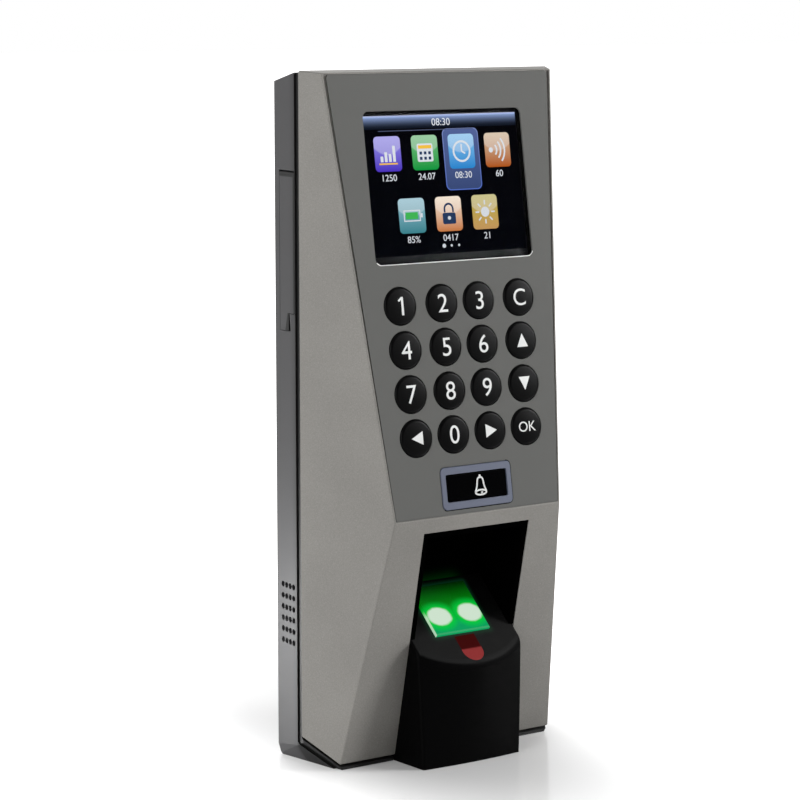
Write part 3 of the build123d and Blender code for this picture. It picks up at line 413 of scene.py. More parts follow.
    @classmethod
    def press_on(cls, piece: Piece, under: Piece, film: float) -> None:
        """Lays a flat print over a curved surface and gives it its thickness.

        Args:
            piece: The print, in its place just over the surface.
            under: The piece that carries it.
            film: How far the print stands off that surface.
        """
        with cls.editing(piece):
            bpy.ops.mesh.quads_convert_to_tris()
            bpy.ops.mesh.subdivide(number_cuts=3)
        cls.modify(piece, "SHRINKWRAP", target=under, wrap_mode="ABOVE_SURFACE", offset=film)
        cls.modify(piece, "SOLIDIFY", thickness=2 * film, offset=-1.0)

    @classmethod
    def stand(cls, piece: Piece, side: Side, place: Sequence[float], turn: float = 0.0) -> Piece:
        """Sets a flat piece in its place on a side.

        Args:
            piece: The piece, lying at the origin.
            side: The side that it goes on.
            place: Where it goes, across, up and out.
            turn: Degrees that it is turned to the left on the side.

        Returns:
            The piece, with its place in its mesh.
        """
        piece.matrix_world = side.matrix(*place) @ Matrix.Rotation(math.radians(turn), 4, "Z")
        cls.apply(piece)
        return piece

    @classmethod
    def join(cls, name: str, pieces: Sequence[Piece]) -> Piece:
        """Joins pieces of one finish into one.

        Args:
            name: The joined piece's name.
            pieces: The pieces to join.

        Returns:
            The joined piece.
        """
        cls.take(*pieces)
        bpy.ops.object.join()
        return cls.named(name)


def fit(piece: Piece, material: bpy.types.Material, body: str) -> None:
    """Gives a finished piece its material and the body that it rides on.

    Args:
        piece: The piece, in its place.
        material: Its material.
        body: The body that it moves with.
    """
    piece.data.materials.clear()
    piece.data.materials.append(material)
    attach(piece, body)
    log.info("%s: %d faces, rides on %s", piece.name, len(piece.data.polygons), body)


# ---------------------------------------------------------------- shading
class Wiring:
    """A node tree under work: adds nodes, sets their sockets and links them."""

    def __init__(self, tree: bpy.types.NodeTree) -> None:
        """Takes the tree that the nodes go in."""
        self.tree = tree

    def add(self, kind: str, feeds: Mapping | None = None, **settings: object) -> bpy.types.Node:
        """Adds a node.

        Args:
            kind: The node's type, without its ShaderNode in front.
            feeds: What goes in each input, by its name or number: a value, or a socket to link.
            settings: The node's own settings.

        Returns:
            The node.
        """
        node = self.tree.nodes.new("ShaderNode" + kind)
        for name, value in settings.items():
            setattr(node, name, value)
        self.feed_all(node, feeds or {})
        return node

    def feed_all(self, node: bpy.types.Node, feeds: Mapping) -> None:
        """Feeds several inputs of a node, by their names or numbers."""
        for key, feed in feeds.items():
            self.feed(node.inputs[key], feed)

    def feed(self, socket: Socket, feed: object) -> None:
        """Links a socket to another one, or sets its value.

        Args:
            socket: The socket.
            feed: A value, or a socket to link.
        """
        if isinstance(feed, bpy.types.NodeSocket):
            self.tree.links.new(feed, socket)
        elif socket.type == "RGBA":
            socket.default_value = (*feed, 1.0)
        else:
            socket.default_value = feed

    def math(self, operation: str, *terms: object) -> Socket:
        """Adds a Math node and gives its result."""
        return self.add("Math", dict(enumerate(terms)), operation=operation).outputs[0]

    def times(self, one: object, other: object) -> Socket:
        """Gives a product."""
        return self.math("MULTIPLY", one, other)

    def less(self, one: object, other: object) -> Socket:
        """Gives the first term less the second."""
        return self.math("SUBTRACT", one, other)

    def square(self, term: Socket) -> Socket:
        """Gives a square."""
        return self.math("POWER", term, 2.0)

    def along(self, axis: Vector, spot: Socket) -> Socket:
        """Gives how far a position lies along an axis."""
        feeds = {0: spot, 1: tuple(axis)}
        return self.add("VectorMath", feeds, operation="DOT_PRODUCT").outputs["Value"]

    def step(self, value: Socket, low: float, high: float) -> Socket:
        """Gives a soft step from 0 at low to 1 at high."""
        feeds = {0: value, 1: low, 2: high}
        return self.add("MapRange", feeds, interpolation_type="SMOOTHSTEP").outputs[0]

    def fall(self, value: Socket, low: float, high: float) -> Socket:
        """Gives a soft step from 1 at low to 0 at high."""
        return self.less(1.0, self.step(value, low, high))

    def blend(self, share: object, low: object, high: object, mode: str = "MIX") -> Socket:
        """Mixes two colours and gives the result."""
        feeds = {0: share, 6: low, 7: high}
        return self.add("Mix", feeds, data_type="RGBA", blend_type=mode).outputs[2]

    def noise(self, spot: Socket, scale: object, detail: float = 2.0) -> Socket:
        """Gives the value of a noise pattern."""
        return self.add("TexNoise", {"Vector": spot, "Scale": scale, "Detail": detail}).outputs[0]

    def cells(self, spot: Socket, scale: object, **settings: str) -> Socket:
        """Gives the distance value of a cell pattern."""
        feeds = {"Vector": spot, "Scale": scale}
        return self.add("TexVoronoi", feeds, **settings).outputs["Distance"]

    def spot(self) -> Socket:
        """Gives the position on the object."""
        return self.add("TexCoord").outputs["Object"]

    def group(self, tree: bpy.types.NodeTree, feeds: Mapping | None = None) -> Mapping:
        """Adds a shared effect and gives its outputs."""
        return self.add("Group", feeds, node_tree=tree).outputs


class Effect(Enum):
    """The effects that several finishes share, each a node group that is built once."""

    GRAIN = "moulded_grain"
    DUST = "settled_dust"
    BRUSHED = "brushed_lines"

    def tree(self) -> bpy.types.NodeTree:
        """Gives the effect's node group, built at its first use."""
        return bpy.data.node_groups.get(self.value) or getattr(self, "_" + self.value)()

    def _start(
        self, takes: Mapping[str, object], gives: Sequence[str]
    ) -> tuple[Wiring, Mapping, bpy.types.Node]:
        """Starts a node group.

        Args:
            takes: Its inputs and their first values: a colour or a number.
            gives: Its outputs. One named Colour is a colour, and the others are numbers.

        Returns:
            Its wiring, what it takes in, and the node that gives its results.
        """
        tree = bpy.data.node_groups.new(self.value, "ShaderNodeTree")
        for name, value in takes.items():
            kind = "NodeSocketColor" if isinstance(value, tuple) else "NodeSocketFloat"
            socket = tree.interface.new_socket(name, in_out="INPUT", socket_type=kind)
            socket.default_value = (*value, 1.0) if isinstance(value, tuple) else value
        for name in gives:
            kind = "NodeSocketColor" if name == "Colour" else "NodeSocketFloat"
            tree.interface.new_socket(name, in_out="OUTPUT", socket_type=kind)
        inside = tree.nodes.new("NodeGroupInput").outputs
        return Wiring(tree), inside, tree.nodes.new("NodeGroupOutput")

    def _moulded_grain(self) -> bpy.types.NodeTree:
        """Fine grain with flecks and a broad unevenness, as on paint and moulded plastic.

        Returns:
            The effect's node group.
        """
        takes = {"Colour": (0.5, 0.5, 0.5), "Grains": 2500.0, "Mottle": 0.08, "Fleck": 0.0}
        wiring, inside, result = self._start(takes, ("Colour", "Height", "Unevenness"))
        spot = wiring.spot()
        fine = wiring.noise(spot, inside["Grains"], 3.0)
        broad = wiring.noise(spot, 45.0)
        broad_share = 0.6
        both = wiring.math("ADD", fine, wiring.times(broad, broad_share))
        even = wiring.less(both, (1 + broad_share) / 2)
        lift = wiring.math("MULTIPLY_ADD", even, inside["Mottle"], 1.0)
        feeds = {0: inside["Colour"], "Scale": lift}
        toned = wiring.add("VectorMath", feeds, operation="SCALE").outputs[0]
        flecks = wiring.fall(wiring.cells(spot, wiring.times(inside["Grains"], 0.45)), 0.10, 0.34)
        light = wiring.blend(1.0, toned, FLECK_TONE, "ADD")
        wiring.feed_all(result, {
            "Colour": wiring.blend(wiring.times(flecks, inside["Fleck"]), toned, light),
            "Height": fine,
            "Unevenness": wiring.less(broad, 0.5),
        })
        return wiring.tree

    def _settled_dust(self) -> bpy.types.NodeTree:
        """A thin dust that lies thickest on what faces up.

        Returns:
            The effect's node group.
        """
        takes = {"Colour": (0.5, 0.5, 0.5), "Amount": 0.1}
        wiring, inside, result = self._start(takes, ("Colour", "Cover"))
        level = wiring.along(UP, wiring.add("NewGeometry").outputs["Normal"])
        patchy = wiring.step(wiring.noise(wiring.spot(), 260.0, 5.0), 0.35, 0.75)
        cover = wiring.times(wiring.times(wiring.step(level, 0.1, 0.95), patchy), inside["Amount"])
        colour = wiring.blend(cover, inside["Colour"], DUST_TONE)
        wiring.feed_all(result, {"Colour": colour, "Cover": cover})
        return wiring.tree

    def _brushed_lines(self) -> bpy.types.NodeTree:
        """Long fine scratches along the height of a metal sheet.

        Returns:
            The effect's node group.
        """
        wiring, inside, result = self._start({"Lines": 4000.0}, ("Height",))
        stretch = {"Vector": wiring.spot(), "Scale": (1.0, 1.0, 0.02)}
        drawn = wiring.add("Mapping", stretch).outputs[0]
        wiring.feed_all(result, {"Height": wiring.noise(drawn, inside["Lines"], 4.0)})
        return wiring.tree


def new_shader(name: str) -> tuple[bpy.types.Material, Wiring, bpy.types.Node]:
    """Starts a material.

    Args:
        name: The material's name.

    Returns:
        The material, its wiring and its shader node.
    """
    material = bpy.data.materials.new(name)
    material.use_nodes = True
    return material, Wiring(material.node_tree), material.node_tree.nodes["Principled BSDF"]


@dataclass(frozen=True)
class Finish:
    """A solid finish: paint, plastic, rubber or metal.

    Attributes:
        name: The material's name.
        colour: Its mean colour.
        roughness: How much it spreads a reflection.
        metallic: 1 for bare metal, and less for a metallic paint.
        specular: How strongly a surface that isn't metal reflects.
        coat: How much clear gloss lies over it.
        grain: The size of its grain.
        relief: The depth of its grain.
        mottle: The share that its colour varies by.
        fleck: How light its flecks are.
        patches: How much its roughness varies.
        dust: How much dust lies on it.
        dulling: How much that dust adds to its roughness.
        brushed: Whether it is brushed lengthwise in place of grained.
    """

    name: str
    colour: Colour
    roughness: float
    metallic: float = 0.0
    specular: float = 0.5
    coat: float = 0.0
    grain: float = 0.4 * MM
    relief: float = 0.006 * MM
    mottle: float = 0.1
    fleck: float = 0.0
    patches: float = 0.12
    dust: float = 0.04
    dulling: float = 0.4
    brushed: bool = False

    def make(self) -> bpy.types.Material:
        """Builds the material.

        Returns:
            The material.
        """
        material, wiring, shader = new_shader(self.name)
        grain = wiring.group(Effect.GRAIN.tree(), {
            "Colour": self.colour,
            "Grains": 1 / self.grain,
            "Mottle": self.mottle,
            "Fleck": self.fleck,
        })
        colour = self.tint(wiring, grain["Colour"])
        dust = wiring.group(Effect.DUST.tree(), {"Colour": colour, "Amount": self.dust})
        height = wiring.group(Effect.BRUSHED.tree())["Height"] if self.brushed else grain["Height"]
        rough = wiring.math("MULTIPLY_ADD", grain["Unevenness"], self.patches, self.roughness)
        bump = wiring.add("Bump", {"Strength": 1.0, "Distance": self.relief, "Height": height})
        wiring.feed_all(shader, {
            "Base Color": dust["Colour"],
            "Roughness": wiring.math("ADD", rough, wiring.times(dust["Cover"], self.dulling)),
            "Normal": bump.outputs[0],
            "Metallic": self.metallic,
            "Specular IOR Level": self.specular,
            "Coat Weight": self.coat,
        })
        return material

    def tint(self, wiring: Wiring, colour: Socket) -> Socket:
        """Gives the surface's colour, which a plain finish leaves as it is."""
        return colour


@dataclass(frozen=True)
class BoardFinish(Finish):
    """Solder resist with lighter tracks and tinned holes.

    Attributes:
        track: The colour over a track.
        tin: The colour of a tinned hole.
    """

    track: Colour = (0.05, 0.26, 0.11)
    tin: Colour = (0.55, 0.55, 0.5)

    def tint(self, wiring: Wiring, colour: Socket) -> Socket:
        """Draws the tracks and holes over the board's colour.

        Args:
            wiring: The material's wiring.
            colour: The colour so far.

        Returns:
            The colour to use.
        """
        spot = wiring.spot()
        paths = wiring.cells(spot, 180.0, feature="DISTANCE_TO_EDGE")
        holes = wiring.cells(spot, 260.0, distance="CHEBYCHEV")
        tracked = wiring.blend(wiring.fall(paths, 0.03, 0.06), colour, self.track)
        return wiring.blend(wiring.fall(holes, 0.10, 0.14), tracked, self.tin)


@dataclass(frozen=True)
class CasingFinish(Finish):
    """Casing plastic: painted shade towards the seam, painted shadow on the tongue that goes into
    the cover.

    Attributes:
        shadow: The colour of the painted shadow in the seam and of the painted shade beside it.
        rim_y: Where the casing's outer wall ends and its tongue begins.
        run: How far back from there the painted shade on the wall reaches, less and less.
    """

    shadow: Colour = (0.002, 0.002, 0.002)
    rim_y: float = -10.8 * MM
    run: float = 3.0 * MM

    def tint(self, wiring: Wiring, colour: Socket) -> Socket:
        """Paints shadow on the tongue and shade on the wall next to it.

        Args:
            wiring: The material's wiring.
            colour: The colour so far.

        Returns:
            The colour to use.
        """
        back = wiring.along(BACK, wiring.spot())
        # painted shadow on the tongue, and painted shade on the wall that fades back from the rim
        wall = wiring.step(back, self.rim_y - CRISP, self.rim_y)
        clear = wiring.step(back, self.rim_y - self.run, self.rim_y + self.run)
        return wiring.blend(wiring.times(wall, clear), self.shadow, colour)


@dataclass(frozen=True)
class FlapFinish(CasingFinish):
    """Casing plastic of the port flap, with painted shadow along the gaps round it.

    Attributes:
        top: The height of the flap's upper edge.
        front: Where its front edge is.
        tab_foot: The height of the foot of its tab.
        tab_top: The height of the tab's upper end.
        tab_front: Where the tab's front edge is.
        line: How wide the painted shadow is along the upper and the front edge.
        tab_line: How wide it is at the tab's upper end.
        notch: How much wider it is at the tab's foot.
    """

    top: float = 66.0 * MM
    front: float = -10.7 * MM
    tab_foot: float = 25.0 * MM
    tab_top: float = 29.7 * MM
    tab_front: float = -7.4 * MM
    line: float = 0.6 * MM
    tab_line: float = 0.3 * MM
    notch: float = 1.2 * MM

    def tint(self, wiring: Wiring, colour: Socket) -> Socket:
        """Paints shadow along the flap's edges, over the casing's painted shade.

        Args:
            wiring: The material's wiring.
            colour: The colour so far.

        Returns:
            The colour to use.
        """
        spot = wiring.spot()
        back = wiring.along(BACK, spot)
        high = wiring.along(UP, spot)
        upper = wiring.step(high, self.top - self.line, self.top - self.line + CRISP)
        front = wiring.math("LESS_THAN", back, self.front + self.line)
        taper = self.notch / (self.tab_top - self.tab_foot)
        start = self.tab_front + self.tab_line + taper * self.tab_top
        ahead = wiring.math("LESS_THAN", back, wiring.math("MULTIPLY_ADD", high, -taper, start))
        tab = wiring.times(wiring.math("LESS_THAN", high, self.tab_top), ahead)
        # painted shadow along the flap's upper edge, its front edge and its tab
        dark = wiring.math("MAXIMUM", wiring.math("MAXIMUM", upper, front), tab)
        return wiring.blend(dark, super().tint(wiring, colour), self.shadow)


@dataclass(frozen=True)
class MarkerFinish(Finish):
    """The red inlay under the finger window: deep red in painted shade above, and lighter on its
    round end.

    Attributes:
        deep: Its colour in the painted shade above.
        line: Where the painted shade above meets the lighter red, up the slope.
        soft: How far above that line they run into each other.
        slope: The side that it lies on.
    """

    deep: Colour = shade(66, 4, 4)
    line: float = 0.0
    soft: float = 0.6 * MM
    slope: Side = Side.facing(0, 50)

    def tint(self, wiring: Wiring, colour: Socket) -> Socket:
        """Paints shade on the inlay above the line."""
        up = wiring.along(self.slope.up, wiring.spot())
        # painted shade above the line, over the lighter red of the round end
        return wiring.blend(wiring.step(up, self.line, self.line + self.soft), colour, self.deep)


@dataclass(frozen=True)
class GlowFinish(Finish):
    """A black finish with painted glow from the finger window, and painted light on what lies along
    its side.

    Attributes:
        slope: The side that the window lies on.
        low: The lowest corner of the lit box on that side: across, up and out.
        high: Its highest corner.
        reach: How far off the box the painted glow is gone.
        glow: The colour of the painted glow beside the box.
        sloped: The painted light colour of what faces out along the side, in front of the window.
        slope_run: How far up the side that colour fades.
        slope_rest: The share of that colour which is left above.
    """

    slope: Side = Side.facing(0, 50)
    low: Vector = Vector()
    high: Vector = Vector()
    reach: float = 2.4 * MM
    glow: Colour = (0.001, 0.022, 0.008)
    sloped: Colour = (0.0008, 0.0008, 0.0008)
    slope_run: float = 7.0 * MM
    slope_rest: float = 0.25

    def make(self) -> bpy.types.Material:
        """Builds the material.

        Returns:
            The material.
        """
        material = super().make()
        wiring = Wiring(material.node_tree)
        spot = wiring.spot()
        axes = (self.slope.across, self.slope.up, self.slope.out)
        total = 0.0
        for axis, low, high in zip(axes, self.low, self.high):
            here = wiring.along(axis, spot)
            gap = wiring.math("MAXIMUM", wiring.less(low, here), wiring.less(here, high))
            total = wiring.math("ADD", total, wiring.square(wiring.math("MAXIMUM", gap, 0.0)))
        near = wiring.square(wiring.fall(wiring.math("SQRT", total), 0.0, self.reach))
        # painted glow: green emission that fades off the window's lit box
        light = wiring.blend(near, (0.0, 0.0, 0.0), self.glow)
        shader = material.node_tree.nodes["Principled BSDF"]
        wiring.feed_all(shader, {"Emission Color": light, "Emission Strength": 1.0})
        return material

    def tint(self, wiring: Wiring, colour: Socket) -> Socket:
        """Paints light on what faces out along the side, in front of the window.

        Args:
            wiring: The material's wiring.
            colour: The colour so far.

        Returns:
            The colour to use.
        """
        level = wiring.along(self.slope.out, wiring.add("NewGeometry").outputs["Normal"])
        up = wiring.along(self.slope.up, wiring.spot())
        front = wiring.fall(up, self.low.y, self.low.y + self.slope_run)
        share = wiring.math("MULTIPLY_ADD", front, 1 - self.slope_rest, self.slope_rest)
        facing = wiring.step(level, 0.85, 0.99)
        # painted light on the faces that lie along the slope
        return wiring.blend(wiring.times(facing, share), colour, self.sloped)


@dataclass(frozen=True)
class ClearFinish:
    """Clear glass or plastic, with faint smudges.

    Attributes:
        name: The material's name.
        colour: The colour that it gives to what is behind it.
        bend: Its index of refraction.
        smudge: How rough its smudges are.
    """

    name: str
    colour: Colour
    bend: float = 1.49
    smudge: float = 0.03

    def make(self) -> bpy.types.Material:
        """Builds the material.

        Returns:
            The material.
        """
        material, wiring, shader = new_shader(self.name)
        smears = wiring.step(wiring.noise(wiring.spot(), 90.0, 4.0), 0.45, 0.8)
        wiring.feed_all(shader, {
            "Base Color": self.colour,
            "Roughness": wiring.times(smears, self.smudge),
            "IOR": self.bend,
            "Transmission Weight": 1.0,
        })
        return material


@dataclass(frozen=True)
class LitFinish:
    """A lit part of the display, shaded from its foot to its top.

    Attributes:
        name: The material's name.
        low: Its colour at the foot.
        high: Its colour at the top.
        foot: Where its foot is, up the face.
        top: Where its top is, up the face.
        face: The face that it lies on.
        middle: Where its middle is, across the face.
        gloss: How light the sheen over its upper half is.
        sheen: Where that sheen begins and where it is full, as shares of the height.
        curve: How late it turns from its low to its high colour; 1 is an even change.
    """

    name: str
    low: Colour
    high: Colour
    foot: float
    top: float
    face: Side
    middle: float = 0.0
    gloss: float = 0.0
    sheen: Spot = (0.44, 0.5)
    curve: float = 1.0

    def make(self) -> bpy.types.Material:
        """Builds the material.

        Returns:
            The material.
        """
        material, wiring, shader = new_shader(self.name)
        spot = wiring.spot()
        feeds = {0: wiring.along(self.face.up, spot), 1: self.foot, 2: self.top}
        height = wiring.add("MapRange", feeds).outputs[0]
        colour = wiring.blend(wiring.math("POWER", height, self.curve), self.low, self.high)
        if self.gloss:
            aside = wiring.less(wiring.along(self.face.across, spot), self.middle)
            bow = wiring.square(wiring.times(aside, 1 / (self.top - self.foot)))
            sheen = wiring.step(wiring.less(height, bow), *self.sheen)
            colour = wiring.blend(wiring.times(sheen, self.gloss), colour, (1.0, 1.0, 1.0))
        wiring.feed_all(shader, {
            "Base Color": (0.0012, 0.0012, 0.0014),
            "Roughness": 0.6,
            "Specular IOR Level": 0.0,
            "Emission Color": colour,
            "Emission Strength": 1.0,
        })
        return material


@dataclass(frozen=True)
class WindowFinish:
    """The finger window, with the light of two green lamps inside it painted on as glow.

    Attributes:
        name: The material's name.
        slope: The side that the window lies on.
        middle: Where the lamps' spots are, up the slope.
        apart: How far each spot is from the window's middle.
        spot: Half the width and half the height of a spot.
        edge: Where the full light ends, up the slope.
        fade: How far above that line the light is gone.
        glint_at: How far to the left of the middle the painted glint on the window's edge begins.
        glint: How bright that painted glint is.
        heart_ends: Where a spot's heart begins to fade and where it is gone: 1 is the spot's rim.
        halo_ends: The same for the halo round it.
        green: The colour of the halo.
        low_tint: The colour below the spots.
        high_tint: The colour above them.
        dark: The colour where no light comes.
        heart: The colour in a spot's heart.
    """

    name: str
    slope: Side
    middle: float
    edge: float
    apart: float = 5.0 * MM
    spot: Spot = (3.5 * MM, 2.9 * MM)
    fade: float = 11.0 * MM
    glint_at: float = 8.6 * MM
    glint: float = 0.7
    heart_ends: Spot = (0.75, 1.35)
    halo_ends: Spot = (0.8, 3.8)
    green: Colour = shade(0, 200, 60)
    low_tint: Colour = shade(6, 158, 92)
    high_tint: Colour = shade(4, 128, 14)
    dark: Colour = (0.0, 0.001, 0.0)
    heart: Colour = shade(208, 228, 208)

    def make(self) -> bpy.types.Material:
        """Builds the material.

        Returns:
            The material.
        """
        material, wiring, shader = new_shader(self.name)
        spot = wiring.spot()
        up = wiring.along(self.slope.up, spot)
        across = wiring.along(self.slope.across, spot)
        wide, high = (
            wiring.square(wiring.math("DIVIDE", wiring.less(here, place), half))
            for here, place, half in (
                (wiring.math("ABSOLUTE", across), self.apart, self.spot[0]),
                (up, self.middle, self.spot[1]),
            )
        )
        wobble = wiring.times(wiring.less(wiring.noise(spot, 420.0), 0.5), 0.5)
        away = wiring.math("ADD", wiring.math("ADD", wide, high), wobble)
        # painted light of the lamps: bright hearts, a green halo, and a field that fades up the
        # window
        heart = wiring.fall(away, *self.heart_ends)
        halo = wiring.fall(away, *self.halo_ends)
        lit = wiring.fall(up, self.edge, self.edge + self.fade)
        under = wiring.fall(up, self.middle - self.spot[1], self.middle)
        field = wiring.blend(under, self.high_tint, self.low_tint)
        field = wiring.blend(lit, self.dark, wiring.blend(halo, field, self.green))
        # painted glint along the lower part of the window's left edge
        left = wiring.step(wiring.times(across, -1.0), self.glint_at, self.glint_at + CRISP)
        glint = wiring.times(left, wiring.fall(up, self.middle, self.middle + self.spot[1]))
        field = wiring.blend(wiring.times(glint, self.glint), field, self.heart)
        wiring.feed_all(shader, {
            "Base Color": (0.004, 0.02, 0.008),
            "Roughness": wiring.math("MULTIPLY_ADD", wobble, 0.08, 0.06),
            "Coat Weight": 0.6,
            "Emission Color": wiring.blend(heart, field, self.heart),
            "Emission Strength": 1.0,
        })
        return material


# ---------------------------------------------------------------- the housing's finishes
CASING = {"colour": (0.060, 0.0595, 0.062), "roughness": 0.45, "grain": 0.25 * MM, "mottle": 0.08}


class Housing:
    """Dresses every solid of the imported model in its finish.

    Attributes:
        finishes: The finish of each material slot in the record, by the slot's name.
    """

    finishes: ClassVar[Mapping[str, object]] = {finish.name: finish for finish in (
        Finish("cover_paint", (0.253, 0.244, 0.227), 0.52, metallic=0.15, specular=0.35,
               grain=0.3 * MM, relief=0.03 * MM, mottle=0.5, fleck=0.08, dust=0.04),
        Finish("face_trim", (0.131, 0.132, 0.126), 0.6, specular=0.12, grain=0.22 * MM,
               relief=0.004 * MM, mottle=0.07),
        CasingFinish("casing_plastic", **CASING),
        ClearFinish("clear_lens", (0.96, 0.97, 0.98), bend=1.12),
        Finish("foam", (0.012, 0.012, 0.012), 0.95, specular=0.1, relief=0.03 * MM),
        Finish("display_face", (0.004, 0.004, 0.006), 0.3, specular=0.2, dust=0.0),
        Finish("bracket_steel", (0.55, 0.55, 0.56), 0.34, metallic=1.0, brushed=True),
        Finish("key_rubber", (0.0012, 0.0012, 0.0014), 0.33, specular=0.08, grain=0.15 * MM,
               relief=0.003 * MM, mottle=0.2, dust=0.012),
        Finish("bezel_blue", (0.112, 0.127, 0.180), 0.42, metallic=0.2, grain=0.12 * MM,
               relief=0.002 * MM),
        Finish("silicone", (0.35, 0.35, 0.36), 0.6),
        BoardFinish("board_green", (0.015, 0.12, 0.045), 0.4, relief=0.01 * MM),
        Finish("gold", (0.85, 0.6, 0.24), 0.25, metallic=1.0, grain=0.1 * MM),
        Finish("screw_steel", (0.45, 0.45, 0.46), 0.32, metallic=1.0, grain=0.15 * MM, mottle=0.2),
        ClearFinish("optical_glass", (0.8, 0.95, 0.85), bend=1.52),
        Finish("lamp_green", (0.1, 0.7, 0.25), 0.2, coat=0.8),
        Finish("black_plastic", (0.012, 0.012, 0.012), 0.5, specular=0.4),
        Finish("connector_white", (0.7, 0.67, 0.58), 0.5),
        Finish("relay_case", (0.03, 0.11, 0.38), 0.35),
        Finish("can_sleeve", (0.35, 0.36, 0.4), 0.3, metallic=0.8),
        Finish("nickel", (0.66, 0.65, 0.62), 0.22, metallic=1.0, grain=0.1 * MM),
        Finish("ribbon_amber", (0.5, 0.2, 0.04), 0.3, coat=0.4),
        Finish("terminal_green", (0.03, 0.26, 0.10), 0.5),
    )}

    def __init__(self, frame: Mapping) -> None:
        """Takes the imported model."""
        self.nodes = frame["nodes"]
        self.parts = frame["record"]["subparts"]

    def dress(self, special: Mapping[str, object]) -> None:
        """Gives every solid its material.

        Args:
            special: The finish of each node that has one of its own, by the node's name.
        """
        made = {slot: finish.make() for slot, finish in self.finishes.items()}
        for part in self.parts:
            name = part["node"]
            material = special[name].make() if name in special else made[part["material_slot"]]
            self.assign(self.nodes[name], material)
        log.info("dressed %d solids of the packed model", len(self.parts))

    @staticmethod
    def assign(node: Piece, material: bpy.types.Material) -> None:
        """Puts a material in every slot of a node.

        Args:
            node: The node.
            material: The material.
        """
        if not node.material_slots:
            node.data.materials.append(material)
        for slot in node.material_slots:
            slot.material = material


# ---------------------------------------------------------------- printed signs
class Pointing(Enum):
    """Which way an arrow key points, in degrees turned to the left from up."""

    UP = 0
    LEFT = 90
    DOWN = 180
    RIGHT = 270


@dataclass
class KeySigns:
    """The white prints on the keys and the bell button.

    Attributes:
        face: The face that the keys stand in.
        nodes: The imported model's nodes.
        digit: The height of a digit.
        letter: The height of the letter on the clear key.
        word: The height of the word on the last key.
        arrow: The width and height of an arrow.
        arrow_corner: The radius of its corners.
        flag: The length and width of the slanted stroke on the 1.
        flag_turn: Degrees that this stroke rises by.
        film: The thickness of the print.
        bell: Half the width and half the height of the bell.
        line: The width of the bell's line.
        bell_aside: How far right of the button's middle the bell is.
    """

    face: Side
    nodes: Mapping[str, Piece]
    digit: float = 4.8 * MM
    letter: float = 4.5 * MM
    word: float = 2.7 * MM
    arrow: float = 3.6 * MM
    arrow_corner: float = 0.12 * MM
    flag: Spot = (1.4 * MM, 0.52 * MM)
    flag_turn: float = 38.0
    film: float = 0.03 * MM
    bell: Spot = (1.9 * MM, 2.7 * MM)
    line: float = 0.48 * MM
    bell_aside: float = 1.3 * MM

    def build(self) -> None:
        """Prints every key."""
        tone = (0.78, 0.79, 0.78)
        grain = {"grain": 0.1 * MM, "relief": 0.001 * MM, "mottle": 0.05}
        white = Finish("print_white", tone, 0.45, **grain).make()
        for digit in range(10):
            self.press(f"key_{digit}", Bench.sign(f"sign_{digit}", str(digit), self.digit), white)
        self.press("key_clear", Bench.sign("sign_clear", "C", self.letter), white)
        self.press("key_ok", Bench.sign("sign_ok", "OK", self.word), white)
        for way in Pointing:
            name = way.name.lower()
            arrow = Bench.arrow(f"sign_{name}", self.arrow, self.arrow_corner)
            self.press(f"key_{name}", arrow, white, way.value)
        self.ring_bell(white)

    def press(self, key: str, sign: Piece, white: bpy.types.Material, turn: float = 0.0) -> None:
        """Prints a sign on a key.

        Args:
            key: The key's node.
            sign: The flat sign, at the origin.
            white: The print's material.
            turn: Degrees that the sign is turned to the left.
        """
        if key == "key_1":
            sign = self.add_flag(sign)
        Bench.stand(sign, self.face, self.face.middle(self.nodes[key]), turn)
        Bench.press_on(sign, self.nodes[key], self.film)
        fit(sign, white, f"{key}_body")

    def add_flag(self, stem: Piece) -> Piece:
        """Adds the slanted stroke at the top of the 1.

        Args:
            stem: The digit as it is written.

        Returns:
            The digit with its stroke.
        """
        flag = Bench.slab("flag", self.flag, 0.0)
        flag.rotation_euler.z = math.radians(self.flag_turn)
        flag.location = (-0.36 * self.flag[0] - 0.1 * MM, self.digit / 2 - 0.45 * self.flag[0], 0)
        Bench.apply(flag)
        sign = Bench.join("sign_1", [stem, flag])
        sign.location.x = 0.25 * self.flag[0]
        Bench.apply(sign)
        return sign

    def ring_bell(self, white: bpy.types.Material) -> None:
        """Prints the bell: an open outline over an oval mouth with its clapper.

        Args:
            white: The print's material.
        """
        wide, high = self.bell
        flank = [(-0.95, -0.62), (-0.62, -0.2), (-0.52, 0.35), (-0.42, 0.66), (0.0, 0.8)]
        outline = flank + [(-x, y) for x, y in reversed(flank[:-1])]
        mouth = arc((0.0, -0.72 * high), (0.92 * wide, 0.24 * high), 0, 360, 28)[:-1]
        parts = [
            Bench.bead("dome", [(x * wide, y * high) for x, y in outline], self.line, soft=True),
            Bench.bead("mouth", mouth, self.line, closed=True),
            Bench.bead("clapper", [(0.0, -0.78 * high), (0.3 * wide, -0.70 * high)], self.line),
            Bench.disc("knob", 0.17 * wide, 0.1 * self.line, 16),
        ]
        parts[-1].location.y = 0.92 * high
        Bench.apply(parts[-1])
        bell = Bench.join("sign_bell", parts)
        place = self.face.middle(self.nodes["bell_button"]) + Vector((self.bell_aside, 0, 0))
        fit(Bench.stand(bell, self.face, place), white, "bell_button_body")


# ---------------------------------------------------------------- the display's menu
class Motif(Enum):
    """What a tile of the menu shows: each has its own draw method in Menu."""

    CHART = 0
    CALENDAR = 1
    CLOCK = 2
    SOUND = 3
    BATTERY = 4
    LOCK = 5
    SUN = 6


